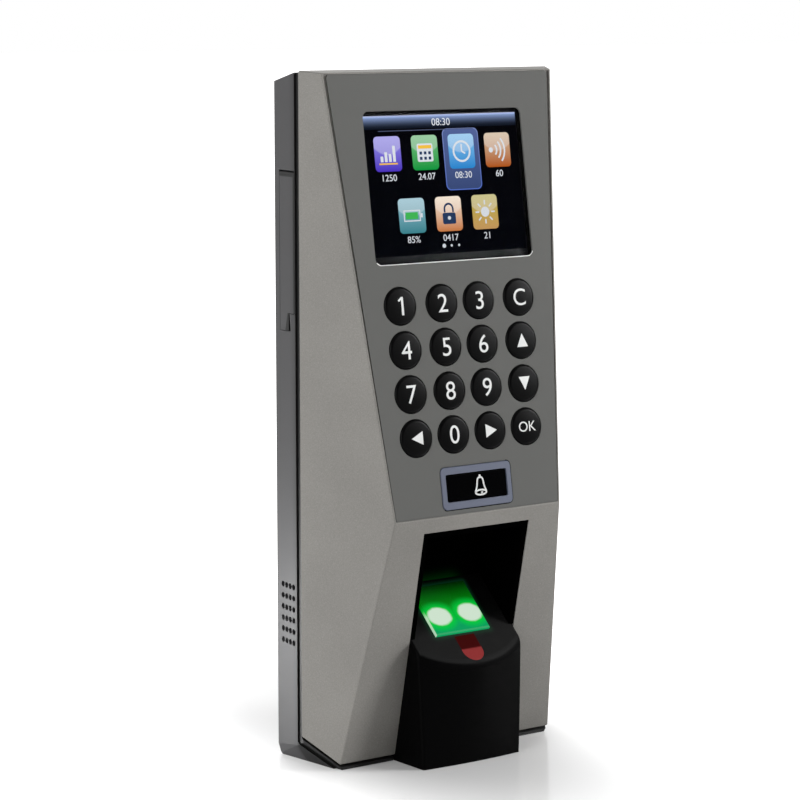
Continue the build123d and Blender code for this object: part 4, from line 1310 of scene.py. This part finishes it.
class Layer(Enum):
    """The layers of the display's picture, each as how many sheets lie under it."""

    GROUND = 0.2
    FRAME = 1.4
    FILL = 1.9
    OVER = 2.6
    CARD = 3.0
    MARK = 4.2
    DETAIL = 5.4


@dataclass(frozen=True)
class Tile:
    """One tile of the menu: a card with its motif, and a number below it.

    Attributes:
        motif: What it shows.
        column: Its place across, in columns from the middle.
        row: Its row, counted from the top.
        low: Its colour at the foot.
        high: Its colour at the top.
        figures: The plain number under it.
    """

    motif: Motif
    column: float
    row: int
    low: Colour
    high: Colour
    figures: str


@dataclass
class Menu:
    """The picture on the display: a title bar, a menu of tiles, a highlight and page dots.

    Attributes:
        face: The face that the display lies in.
        panel: The display panel's node.
        lens: The lens's node.
        lit: The width and height of the display's lit area.
        lip: How far the lens reaches behind the plate.
        margin: The dark strip over the lit area.
        bar: The height of the title bar.
        crest: The height of the light strip along its top.
        rule: The length and width of the line under it.
        rule_down: How far that line is below it.
        rule_aside: How far left of the middle that line is.
        tile: The width and height of a tile.
        tile_corner: The radius of its corners.
        pitch: The distance between columns and between rows.
        first_row: How far the first row's middle is below the top.
        chosen_size: The width and height of the highlight round the chosen tile.
        chosen_down: How far the highlight's middle is below the tile's.
        chosen_edge: The width of its lighter edge.
        figures_down: How far a tile's number is below the tile's middle.
        figures: The height of the numbers.
        clock: The height of the time in the title bar.
        dots: The radius of the first page dot and that of the others.
        dot_pitch: The distance between them.
        dots_up: How far they are above the foot of the lit area.
        sheet: The thickness of one layer of the picture.
        tiles: The tiles.
        chosen: What the chosen tile shows.
        tones: The plain tones that all the marks are in.
    """

    face: Side
    panel: Piece
    lens: Piece
    lit: Spot = (48.96 * MM, 36.72 * MM)
    lip: float = 1.0 * MM
    margin: float = 1.1 * MM
    bar: float = 3.5 * MM
    crest: float = 0.5 * MM
    rule: Spot = (30.3552 * MM, 0.22 * MM)
    rule_down: float = 0.5 * MM
    rule_aside: float = 4.896 * MM
    tile: Spot = (8.3 * MM, 9.2 * MM)
    tile_corner: float = 1.1 * MM
    pitch: Spot = (11.8 * MM, 16.4 * MM)
    first_row: float = 9.95 * MM
    chosen_size: Spot = (11.6 * MM, 16.4 * MM)
    chosen_down: float = 2.05 * MM
    chosen_edge: float = 0.25 * MM
    figures_down: float = 6.25 * MM
    figures: float = 1.75 * MM
    clock: float = 1.9 * MM
    dots: Spot = (0.55 * MM, 0.32 * MM)
    dot_pitch: float = 2.4 * MM
    dots_up: float = 2.0 * MM
    sheet: float = 0.03 * MM

    tiles: ClassVar[tuple[Tile, ...]] = (
        Tile(Motif.CHART, -1.5, 0, shade(74, 50, 190), shade(150, 140, 232), "1250"),
        Tile(Motif.CALENDAR, -0.5, 0, shade(14, 150, 62), shade(110, 190, 122), "24.07"),
        Tile(Motif.CLOCK, 0.5, 0, shade(40, 132, 205), shade(128, 196, 240), "08:30"),
        Tile(Motif.SOUND, 1.5, 0, shade(176, 84, 22), shade(214, 186, 150), "60"),
        Tile(Motif.BATTERY, -1.0, 1, shade(60, 130, 140), shade(140, 190, 205), "85%"),
        Tile(Motif.LOCK, 0.0, 1, shade(200, 120, 66), shade(246, 226, 200), "0417"),
        Tile(Motif.SUN, 1.0, 1, shade(196, 150, 92), shade(188, 176, 70), "21"),
    )
    chosen: ClassVar[Motif] = Motif.CLOCK
    tones: ClassVar[Mapping[str, Colour]] = {
        "white": shade(226, 230, 236),
        "amber": shade(250, 196, 70),
        "green": shade(70, 190, 90),
        "ink": shade(40, 60, 96),
    }

    def __post_init__(self) -> None:
        """Works out where the lit area lies."""
        low, high = self.face.reach(self.lens)
        self.top = high.y - self.lip - self.margin
        self.out = self.face.reach(self.panel)[1].z
        self.middle = (low.x + high.x) / 2
        self.parts: dict[str, list[Piece]] = {tone: [] for tone in self.tones}

    def put(self, piece: Piece, spot: Spot, layer: Layer, turn: float = 0.0) -> Piece:
        """Sets a piece of the picture in its place.

        Args:
            piece: The piece.
            spot: Its middle, right of the display's middle and below the top of the lit area.
            layer: The layer that it lies in.
            turn: Degrees that it is turned to the left.

        Returns:
            The piece.
        """
        height = self.out + layer.value * self.sheet
        place = (self.middle + spot[0], self.top - spot[1], height)
        return Bench.stand(piece, self.face, place, turn)

    def light(
        self, piece: Piece, tones: Sequence[Colour], down: float, tall: float, **more: float
    ) -> None:
        """Gives a part of the picture a material of its own.

        Args:
            piece: The part, in its place.
            tones: Its colour at its foot and at its top.
            down: How far its middle is below the top of the lit area.
            tall: Its height.
            more: Other values of the finish.
        """
        foot = self.top - down - tall / 2
        finish = LitFinish(piece.name, *tones, foot, foot + tall, self.face, **more)
        fit(piece, finish.make(), HOUSING)

    def card(
        self, name: str, size: Spot, spot: Spot, layer: Layer, *tones: Colour,
        corner: float = 0.0, tall: float = 0.0, **more: float,
    ) -> None:
        """Adds a plate with a material of its own.

        Args:
            name: Its name.
            size: Its width and height.
            spot: Its middle.
            layer: The layer that it lies in.
            tones: Its colour at its foot and at its top.
            corner: The radius of its corners.
            tall: The height that its colours run over, if it isn't the plate's.
            more: Other values of its finish.
        """
        piece = self.put(Bench.slab(f"menu_{name}", size, self.sheet, corner), spot, layer)
        self.light(piece, tones, spot[1], tall or size[1], **more)

    def build(self) -> None:
        """Builds the picture."""
        self.backdrop()
        for tile in self.tiles:
            self.place_tile(tile)
        for name, colour in self.tones.items():
            marks = Bench.join(f"menu_{name}", self.parts[name])
            dimmed = tuple(0.86 * c for c in colour)
            self.light(marks, (dimmed, colour), self.lit[1] / 2, self.lit[1])

    def backdrop(self) -> None:
        """Makes the dark ground, the title bar with the time, the rule and the page dots."""
        wide, tall = self.lit
        self.card("ground", self.lit, (0, tall / 2), Layer.GROUND, shade(3, 4, 8), shade(4, 4, 7))
        self.card("bar", (wide, self.bar), (0, self.bar / 2), Layer.FRAME,
                  shade(16, 22, 34), shade(160, 184, 236), curve=2.4)
        self.card("bar_crest", (wide, self.crest), (0, self.crest / 2), Layer.OVER,
                  shade(150, 178, 226), shade(186, 192, 226))
        self.card("rule", self.rule, (-self.rule_aside, self.bar + self.rule_down), Layer.FRAME,
                  shade(62, 70, 94), shade(90, 98, 124))
        self.write("08:30", (0, self.bar * 0.56), self.clock)
        for page in range(3):
            dot = Bench.disc("dot", self.dots[0 if page == 0 else 1], self.sheet, 20)
            self.mark("white", dot, ((page - 1) * self.dot_pitch, tall - self.dots_up), Layer.OVER)

    def mark(self, tone: str, piece: Piece, spot: Spot, layer: Layer, turn: float = 0.0) -> None:
        """Adds a mark of one of the plain tones to the picture.

        Args:
            tone: Its tone.
            piece: The mark, lying at the origin.
            spot: Its middle.
            layer: The layer that it lies in.
            turn: Degrees that it is turned to the left.
        """
        if piece.dimensions.z == 0:
            Bench.thicken(piece, self.sheet)
        self.parts[tone].append(self.put(piece, spot, layer, turn))

    def write(self, figures: str, spot: Spot, height: float) -> None:
        """Adds figures to the picture."""
        self.mark("white", Bench.sign("figures", figures, height), spot, Layer.CARD)

    def place_tile(self, tile: Tile) -> None:
        """Makes a tile with its motif and the number below it.

        Args:
            tile: The tile.
        """
        across, down = tile.column * self.pitch[0], self.first_row + tile.row * self.pitch[1]
        spot = (across, down)
        name = tile.motif.name.lower()
        if tile.motif is self.chosen:
            self.highlight((across, down + self.chosen_down))
        more = {"corner": self.tile_corner, "middle": self.middle + across, "gloss": 0.22}
        self.card(f"tile_{name}", self.tile, spot, Layer.CARD, tile.low, tile.high, **more)
        getattr(self, f"draw_{name}")(spot)
        self.write(tile.figures, (across, down + self.figures_down), self.figures)

    def highlight(self, spot: Spot) -> None:
        """Makes the lit frame round the chosen tile.

        Args:
            spot: Its middle.
        """
        inner = tuple(length - 2 * self.chosen_edge for length in self.chosen_size)
        self.card("highlight_edge", self.chosen_size, spot, Layer.FRAME,
                  shade(84, 112, 200), shade(126, 142, 196), corner=1.5 * MM)
        self.card("highlight", inner, spot, Layer.FILL,
                  shade(58, 74, 118), shade(84, 100, 152), corner=1.3 * MM,
                  tall=self.chosen_size[1])

    def block(
        self, tone: str, size: Spot, spot: Spot, shift: Spot, layer: Layer,
        corner: float = 0.0, turn: float = 0.0,
    ) -> None:
        """Adds a small plate to a motif.

        Args:
            tone: Its tone.
            size: Its width and height, in millimetres.
            spot: The motif's middle.
            shift: How far right of that and below it the plate goes, in millimetres.
            layer: The layer that it lies in.
            corner: The radius of its corners, in millimetres.
            turn: Degrees that it is turned to the left.
        """
        plate = Bench.slab("plate", (size[0] * MM, size[1] * MM), self.sheet, corner * MM)
        self.mark(tone, plate, self.off(spot, *shift), layer, turn)

    @staticmethod
    def off(spot: Spot, right: float, below: float) -> Spot:
        """Gives the spot that lies some millimetres right of another and below it."""
        return spot[0] + right * MM, spot[1] + below * MM

    def draw_chart(self, spot: Spot) -> None:
        """Draws four rising bars on a line.

        Args:
            spot: The tile's middle.
        """
        for i, tall in enumerate((1.5, 2.6, 2.1, 4.2)):
            shift = ((i - 1.5) * 1.3, 2.1 - tall / 2)
            self.block("white", (0.85, tall), spot, shift, Layer.MARK, 0.15)
        self.block("amber", (5.8, 0.4), spot, (0, 2.6), Layer.MARK)

    def draw_calendar(self, spot: Spot) -> None:
        """Draws a sheet with a heading and six days.

        Args:
            spot: The tile's middle.
        """
        self.block("white", (5.0, 4.8), spot, (0, 0), Layer.MARK, 0.5)
        self.block("amber", (4.2, 0.9), spot, (0, -1.5), Layer.DETAIL)
        for i in range(6):
            shift = ((i % 3 - 1) * 1.4, 0.1 + 1.4 * (i // 3))
            self.block("ink", (0.8, 0.8), spot, shift, Layer.DETAIL, 0.1)

    def draw_clock(self, spot: Spot) -> None:
        """Draws a dial with two hands.

        Args:
            spot: The tile's middle.
        """
        dial = Bench.disc("dial", 2.9 * MM, self.sheet, 48, 2.35 * MM)
        self.mark("white", dial, spot, Layer.MARK)
        for length, turn in ((1.9, 0.0), (1.3, -120.0)):
            lean = math.radians(turn)
            shift = (-math.sin(lean) * length / 2, -math.cos(lean) * length / 2)
            self.block("white", (0.42, length), spot, shift, Layer.MARK, 0.1, turn)

    def draw_sound(self, spot: Spot) -> None:
        """Draws a source with three waves.

        Args:
            spot: The tile's middle.
        """
        source = self.off(spot, -2.2, 0)
        self.mark("white", Bench.disc("source", 0.7 * MM, self.sheet, 24), source, Layer.MARK)
        for radius in (1.9 * MM, 3.2 * MM, 4.5 * MM):
            wave = arc((0, 0), (radius, radius), -42, 42, 12)
            self.mark("white", Bench.bead("wave", wave, 0.5 * MM), source, Layer.DETAIL)

    def draw_battery(self, spot: Spot) -> None:
        """Draws a cell that is nearly full.

        Args:
            spot: The tile's middle.
        """
        wide, tall = 2.5 * MM, 1.35 * MM
        line = [(-wide, -tall), (wide, -tall), (wide, tall), (-wide, tall)]
        self.mark("white", Bench.bead("shell", line, 0.45 * MM, closed=True), spot, Layer.DETAIL)
        self.block("white", (0.6, 1.1), spot, (3.05, 0), Layer.MARK)
        self.block("green", (3.9, 1.8), spot, (-0.1, 0), Layer.MARK)

    def draw_lock(self, spot: Spot) -> None:
        """Draws a padlock.

        Args:
            spot: The tile's middle.
        """
        radius = 1.35 * MM
        line = [(radius, 0.0), *arc((0, 0.9 * MM), (radius, radius), 0, 180, 12), (-radius, 0.0)]
        self.mark("ink", Bench.bead("bow", line, 0.55 * MM), self.off(spot, 0, -0.4), Layer.DETAIL)
        self.block("ink", (4.2, 3.0), spot, (0, 1.2), Layer.MARK, 0.5)
        keyhole = Bench.disc("keyhole", 0.5 * MM, self.sheet, 20)
        self.mark("white", keyhole, self.off(spot, 0, 1.1), Layer.DETAIL)

    def draw_sun(self, spot: Spot) -> None:
        """Draws a sun with eight rays.

        Args:
            spot: The tile's middle.
        """
        self.mark("white", Bench.disc("sun", 1.35 * MM, self.sheet, 36), spot, Layer.MARK)
        for i in range(8):
            turn = math.tau * i / 8
            shift = (math.sin(turn) * 2.55, -math.cos(turn) * 2.55)
            self.block("white", (0.42, 1.2), spot, shift, Layer.MARK, 0.1, -math.degrees(turn))


@dataclass
class EdgeLine:
    """A thin line along a stretch of a rounded rectangle on the plate.

    Attributes:
        name: The piece's name.
        face: The face that the plate lies in.
        plate: The plate's node.
        node: The node whose outline it follows.
        corners: The corners that it goes round, each as its side across and up (-1 or 1) and the
            degrees that its arc starts and ends at.
        aside: How far outside the node's outline it runs.
        corner: The radius of the corners.
        width: Its width.
        finish: Its finish.
    """

    name: str
    face: Side
    plate: Piece
    node: Piece
    corners: Sequence[tuple[int, int, int, int]]
    aside: float
    corner: float
    width: float
    finish: Finish

    def build(self) -> None:
        """Builds the line."""
        low, high = self.face.reach(self.node)
        half = (high - low) / 2
        inset = self.aside - self.corner
        line = []
        for across, up, start, end in self.corners:
            offset = Vector((across * (half.x + inset), up * (half.y + inset), 0))
            middle = ((low + high) / 2 + offset).to_2d()
            line += arc(middle, (self.corner, self.corner), start, end, 5)
        level = self.face.reach(self.plate)[1].z
        bead = Bench.bead(self.name, line, self.width)
        fit(Bench.stand(bead, self.face, (0, 0, level)), self.finish.make(), HOUSING)


# ---------------------------------------------------------------- contacts
@dataclass
class Contacts:
    """The metal contacts inside the port and the rear sockets.

    Attributes:
        strip: The length and width of a contact in the port.
        strip_pitch: The distance between those contacts.
        strip_depth: Their thickness.
        strip_back: How far behind the port's middle their backs are.
        strip_in: How far in the port they start.
        rows: The height of each rear socket's middle, and how many pins it has.
        pin_pitch: The distance between pins.
        pin: The width and length of a pin.
        rooted: How deep a pin stands in the floor of its socket.
        floor: How far the floor of a rear socket is from the board.
    """

    strip: Spot = (7.4 * MM, 1.1 * MM)
    strip_pitch: float = 2.4 * MM
    strip_depth: float = 0.12 * MM
    strip_back: float = 0.22 * MM
    strip_in: float = 1.4 * MM
    rows: tuple = ((-17.0 * MM, 8), (-6.0 * MM, 7), (5.0 * MM, 8), (16.0 * MM, 6))
    pin_pitch: float = 4.0 * MM
    pin: Spot = (0.8 * MM, 2.1 * MM)
    rooted: float = 0.05 * MM
    floor: float = 1.2 * MM

    def build(self) -> None:
        """Builds the contacts."""
        self.build_strips()
        self.build_pins()

    def build_strips(self) -> None:
        """Lays the strips in the port."""
        low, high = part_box("usb_socket")
        strips = []
        for i in range(4):
            strip = Bench.slab("strip", self.strip, self.strip_depth, 0.15 * MM)
            across = low.x + self.strip_in + self.strip[0] / 2
            up = (low.z + high.z) / 2 + (i - 1.5) * self.strip_pitch
            place = (across, up, -(low.y + high.y) / 2 - self.strip_back)
            strips.append(Bench.stand(strip, Side.facing(0), place))
        tone = (0.86, 0.62, 0.26)
        bright = Finish("contact_gold", tone, 0.2, metallic=1.0, grain=0.1 * MM, dust=0.0)
        fit(Bench.join("usb_contacts", strips), bright.make(), HOUSING)

    def build_pins(self) -> None:
        """Sets the pins in the rear sockets."""
        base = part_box("rear_terminals")[0].y + self.floor - self.rooted
        pins = []
        for up, count in self.rows:
            for i in range(count):
                pin = Bench.slab("pin", (self.pin[0], self.pin[0]), self.pin[1], 0.1 * MM)
                place = ((i - (count - 1) / 2) * self.pin_pitch, up, base)
                pins.append(Bench.stand(pin, Side.facing(180), place))
        tone = (0.62, 0.62, 0.6)
        tinned = Finish("pin_tin", tone, 0.3, metallic=1.0, grain=0.1 * MM, mottle=0.2)
        fit(Bench.join("terminal_pins", pins), tinned.make(), HOUSING)


# ---------------------------------------------------------------- the studio
@dataclass(frozen=True)
class SoftLight:
    """A square soft light that is aimed at the terminal.

    Attributes:
        name: Its name.
        turn: Degrees from the front, positive towards the right.
        rise: Degrees above the terminal.
        distance: How far off it is.
        size: The length of its sides.
        power: Its power in watts.
        aim_down: How far below the terminal's middle it is aimed.
    """

    name: str
    turn: float
    rise: float
    distance: float
    size: float
    power: float
    aim_down: float = 0.0

    def build(self, middle: Vector) -> None:
        """Sets the light up.

        Args:
            middle: The terminal's middle.
        """
        aim = middle - Vector((0, 0, self.aim_down))
        turn, rise = math.radians(self.turn), math.radians(self.rise)
        flat = math.cos(rise)
        back = Vector((math.sin(turn) * flat, -math.cos(turn) * flat, math.sin(rise)))
        bpy.ops.object.light_add(type="AREA", location=aim + back * self.distance)
        light = bpy.context.object
        light.name = self.name
        light.rotation_euler = (-back).to_track_quat("-Z", "Y").to_euler()
        light.data.size = self.size
        light.data.energy = self.power
        light.visible_camera = False


@dataclass(frozen=True)
class Studio:
    """A pale floor, soft lights, a white surround and the camera.

    Attributes:
        camera_place: Where the camera stands.
        camera_turn: Degrees that it looks to the right of straight on.
        camera_dip: Degrees that it looks down.
        lens_mm: Its focal length on a 36 mm wide sensor.
        lights: The soft lights.
        front_sky: How bright the surround in front of the terminal is.
        back_sky: How bright the surround behind it is.
        sky_turn: Where it turns from the one to the other: -1 is straight in front, and 1 behind.
        floor_reach: How far the floor reaches to each side.
        floor_gap: How far it is below the terminal.
        floor_near: How much the floor is lifted towards white beside the terminal.
        floor_far: The same, further off.
        floor_rise: Where that lift begins to grow and where it is full, sideways from the middle.
        floor_long: How much slower it grows in front of the terminal than beside it.
    """

    camera_place: tuple = (-0.40486, -0.59621, 0.11198)
    camera_turn: float = 34.225
    camera_dip: float = 8.654
    lens_mm: float = 119.48
    lights: tuple = (
        SoftLight("key_light", -75, 18, 1.2, 0.8, 7.6),
        SoftLight("front_light", 54, 20, 1.2, 0.4, 11.0),
        SoftLight("low_light", 2, 3, 1.1, 0.4, 0.7, aim_down=0.07),
        SoftLight("top_light", 20, 72, 1.3, 0.9, 0.9),
        SoftLight("back_light", 165, 40, 1.4, 0.9, 4.2),
        SoftLight("side_light", -128, 1, 0.16, 0.04, 0.10, aim_down=0.083),
    )
    front_sky: float = 0.04
    back_sky: float = 0.9
    sky_turn: Spot = (-0.3, 0.8)
    floor_reach: float = 8.0
    floor_gap: float = 0.05 * MM
    floor_near: float = 0.08
    floor_far: float = 1.0
    floor_rise: tuple = (0.02, 0.08)
    floor_long: float = 0.45

    def build(self, low: Vector, high: Vector) -> None:
        """Sets the studio up round the terminal.

        Args:
            low: The terminal's lowest corner.
            high: Its highest corner.
        """
        self.set_camera()
        self.lay_floor(low.z)
        self.hang_sky()
        for light in self.lights:
            light.build((low + high) / 2)
        bpy.context.scene.view_settings.view_transform = "Standard"

    def set_camera(self) -> None:
        """Sets the camera up."""
        turn = (math.radians(90 - self.camera_dip), 0.0, -math.radians(self.camera_turn))
        bpy.ops.object.camera_add(location=self.camera_place, rotation=turn)
        camera = bpy.context.object
        camera.data.sensor_width = 36.0
        camera.data.lens = self.lens_mm
        bpy.context.scene.camera = camera

    def lay_floor(self, level: float) -> None:
        """Lays the floor just under the terminal.

        Args:
            level: The height of the terminal's foot.
        """
        Bench.take()
        place = (0, 0, level - self.floor_gap)
        bpy.ops.mesh.primitive_plane_add(size=2 * self.floor_reach, location=place)
        floor = Bench.named("studio_floor")
        material, wiring, shader = new_shader("studio_floor")
        stretch = {"Vector": wiring.spot(), "Scale": (1.0, self.floor_long, 1.0)}
        drawn = wiring.add("Mapping", stretch).outputs[0]
        away = wiring.add("VectorMath", {0: drawn}, operation="LENGTH").outputs["Value"]
        grown = wiring.step(away, *self.floor_rise)
        lift = self.floor_far - self.floor_near
        fill = wiring.math("MULTIPLY_ADD", grown, lift, self.floor_near)
        seen = wiring.add("LightPath").outputs["Is Camera Ray"]
        wiring.feed_all(shader, {
            "Base Color": (0.86, 0.86, 0.86),
            "Roughness": 0.16,
            "Emission Color": (1.0, 1.0, 1.0),
            "Emission Strength": wiring.times(fill, seen),
        })
        floor.data.materials.append(material)
        floor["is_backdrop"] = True

    def hang_sky(self) -> None:
        """Makes the surround: white to look at, and dim in front of the terminal for its gloss."""
        world = bpy.data.worlds.new("studio_surround")
        bpy.context.scene.world = world
        world.use_nodes = True
        wiring = Wiring(world.node_tree)
        toward = wiring.along(BACK, wiring.add("TexCoord").outputs["Generated"])
        light = wiring.step(toward, *self.sky_turn)
        cast = wiring.math("MULTIPLY_ADD", light, self.back_sky - self.front_sky, self.front_sky)
        seen = wiring.add("LightPath").outputs["Is Camera Ray"]
        strength = wiring.math("MAXIMUM", cast, seen)
        sky = world.node_tree.nodes["Background"]
        wiring.feed_all(sky, {"Color": (1.0, 1.0, 1.0), "Strength": strength})


@dataclass
class FingerGlow:
    """The light that the finger window throws up the bay: a weak lamp, and painted glow round it.

    Attributes:
        slope: The side that the window lies on.
        window: The window's node.
        spots_up: How far the lamps' spots are above the window's foot.
        full_up: How far the full light reaches above the window's foot.
        bay_in: How far the bay lining's painted glow keeps off the window's left and right edge.
        bay_up: How far it reaches above the window's foot.
        lamp_out: How far the light is in front of the window.
        lamp_size: The length of its sides.
        lamp_spread: The degrees that it spreads over.
        power: The light's power in watts.
    """

    slope: Side
    window: Piece
    spots_up: float = 5.7 * MM
    full_up: float = 6.6 * MM
    bay_in: Spot = (2 * MM, 4 * MM)
    bay_up: float = 11.5 * MM
    lamp_out: float = 1.5 * MM
    lamp_size: float = 8 * MM
    lamp_spread: float = 80.0
    power: float = 0.004

    def finishes(self) -> dict[str, object]:
        """Gives the window's and the black parts' finishes, with painted glow, by the nodes' names.

        Returns:
            The finishes.
        """
        low, high = self.slope.reach(self.window)
        bay_low = low + Vector((self.bay_in[0], 0, 0))
        bay_high = Vector((high.x - self.bay_in[1], low.y + self.bay_up, high.z))
        window = WindowFinish("lit_window", self.slope, low.y + self.spots_up, low.y + self.full_up)
        # painted glow round the window, and painted light on the faces along the slope
        sensor = GlowFinish("sensor_matt", (0.0010, 0.0010, 0.0011), 0.5, specular=0.03,
                            grain=0.2 * MM, relief=0.004 * MM, mottle=0.25, dust=0.004,
                            low=low, high=high, sloped=(0.016, 0.016, 0.016))
        # painted glow up the bay's lining over the window
        liner = GlowFinish("liner_black", (0.0005, 0.0005, 0.0005), 0.6, specular=0.0, relief=0.0,
                           dust=0.0, low=bay_low, high=bay_high, reach=10.5 * MM,
                           glow=(0.004, 0.18, 0.016))
        return {"sensor_glass": window, "sensor_housing": sensor, "bay_liner": liner}

    def build(self) -> None:
        """Sets the light up just over the window."""
        low, high = self.slope.reach(self.window)
        place = self.slope.matrix(0.0, low.y + self.full_up, high.z + self.lamp_out)
        bpy.ops.object.light_add(type="AREA", location=place.translation)
        light = bpy.context.object
        light.name = "finger_glow"
        light.rotation_euler = (place @ Matrix.Rotation(math.pi, 4, "X")).to_euler()
        light.data.size = self.lamp_size
        light.data.spread = math.radians(self.lamp_spread)
        light.data.energy = self.power
        light.data.color = (0.05, 1.0, 0.25)
        light.visible_camera = False


# ---------------------------------------------------------------- the whole
def corners() -> list[list[float]]:
    """Gives the shown model's lowest and highest corner as plain numbers."""
    return [list(corner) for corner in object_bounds()]


def main() -> None:
    """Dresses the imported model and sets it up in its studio."""
    logging.basicConfig(level=logging.INFO, format="%(name)s: %(message)s")
    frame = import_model()
    nodes = frame["nodes"]
    press = next(joint for joint in frame["joints"] if joint["name"] == "key_5_press")
    face = Side.facing(0, math.degrees(math.atan2(-press["axis"][2], press["axis"][1])))
    slope = Side.facing(0, 50)
    glow = FingerGlow(slope, nodes["sensor_glass"])
    marker_line = slope.reach(nodes["finger_marker"])[0].y + 3.7 * MM
    Housing(frame).dress({
        **glow.finishes(),
        "finger_marker": MarkerFinish("marker_inlay", shade(150, 54, 54), 0.5, specular=0.06,
                                      dust=0.0, line=marker_line),
        "port_flap": FlapFinish("flap_plastic", **CASING),
        "bell_button": Finish("bell_black", (0.0004, 0.0004, 0.0007), 0.25, specular=0.03,
                              relief=0.0, dust=0.0),
    })
    glow.build()
    # painted highlight: a light strip along the foot of the display window, where the plate's edge
    # catches light
    cut_edge = Finish("cut_edge", (0.74, 0.74, 0.74), 0.3, metallic=0.5, grain=0.1 * MM)
    # painted shadow: a dark strip in the gap round the bell bezel, along its lower and right edges
    gap_black = Finish("gap_black", (0.001, 0.001, 0.002), 0.8, specular=0.05, dust=0.0)
    plate, lens, bezel = nodes["face_plate"], nodes["display_lens"], nodes["bell_bezel"]
    foot_corners = ((-1, -1, 215, 270), (1, -1, 270, 345))
    EdgeLine("window_edge", face, plate, lens, foot_corners,
             -1.0 * MM, 1.8 * MM, 0.22 * MM, cut_edge).build()
    right_corners = ((-1, -1, 235, 270), (1, -1, 270, 360), (1, 1, 0, 90))
    EdgeLine("bezel_gap", face, plate, bezel, right_corners,
             0.1 * MM, 1.4 * MM, 0.3 * MM, gap_black).build()
    KeySigns(face, nodes).build()
    Menu(face, nodes["display_panel"], lens).build()
    Contacts().build()
    Studio().build(*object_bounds())


if __name__ == "__main__":
    main()
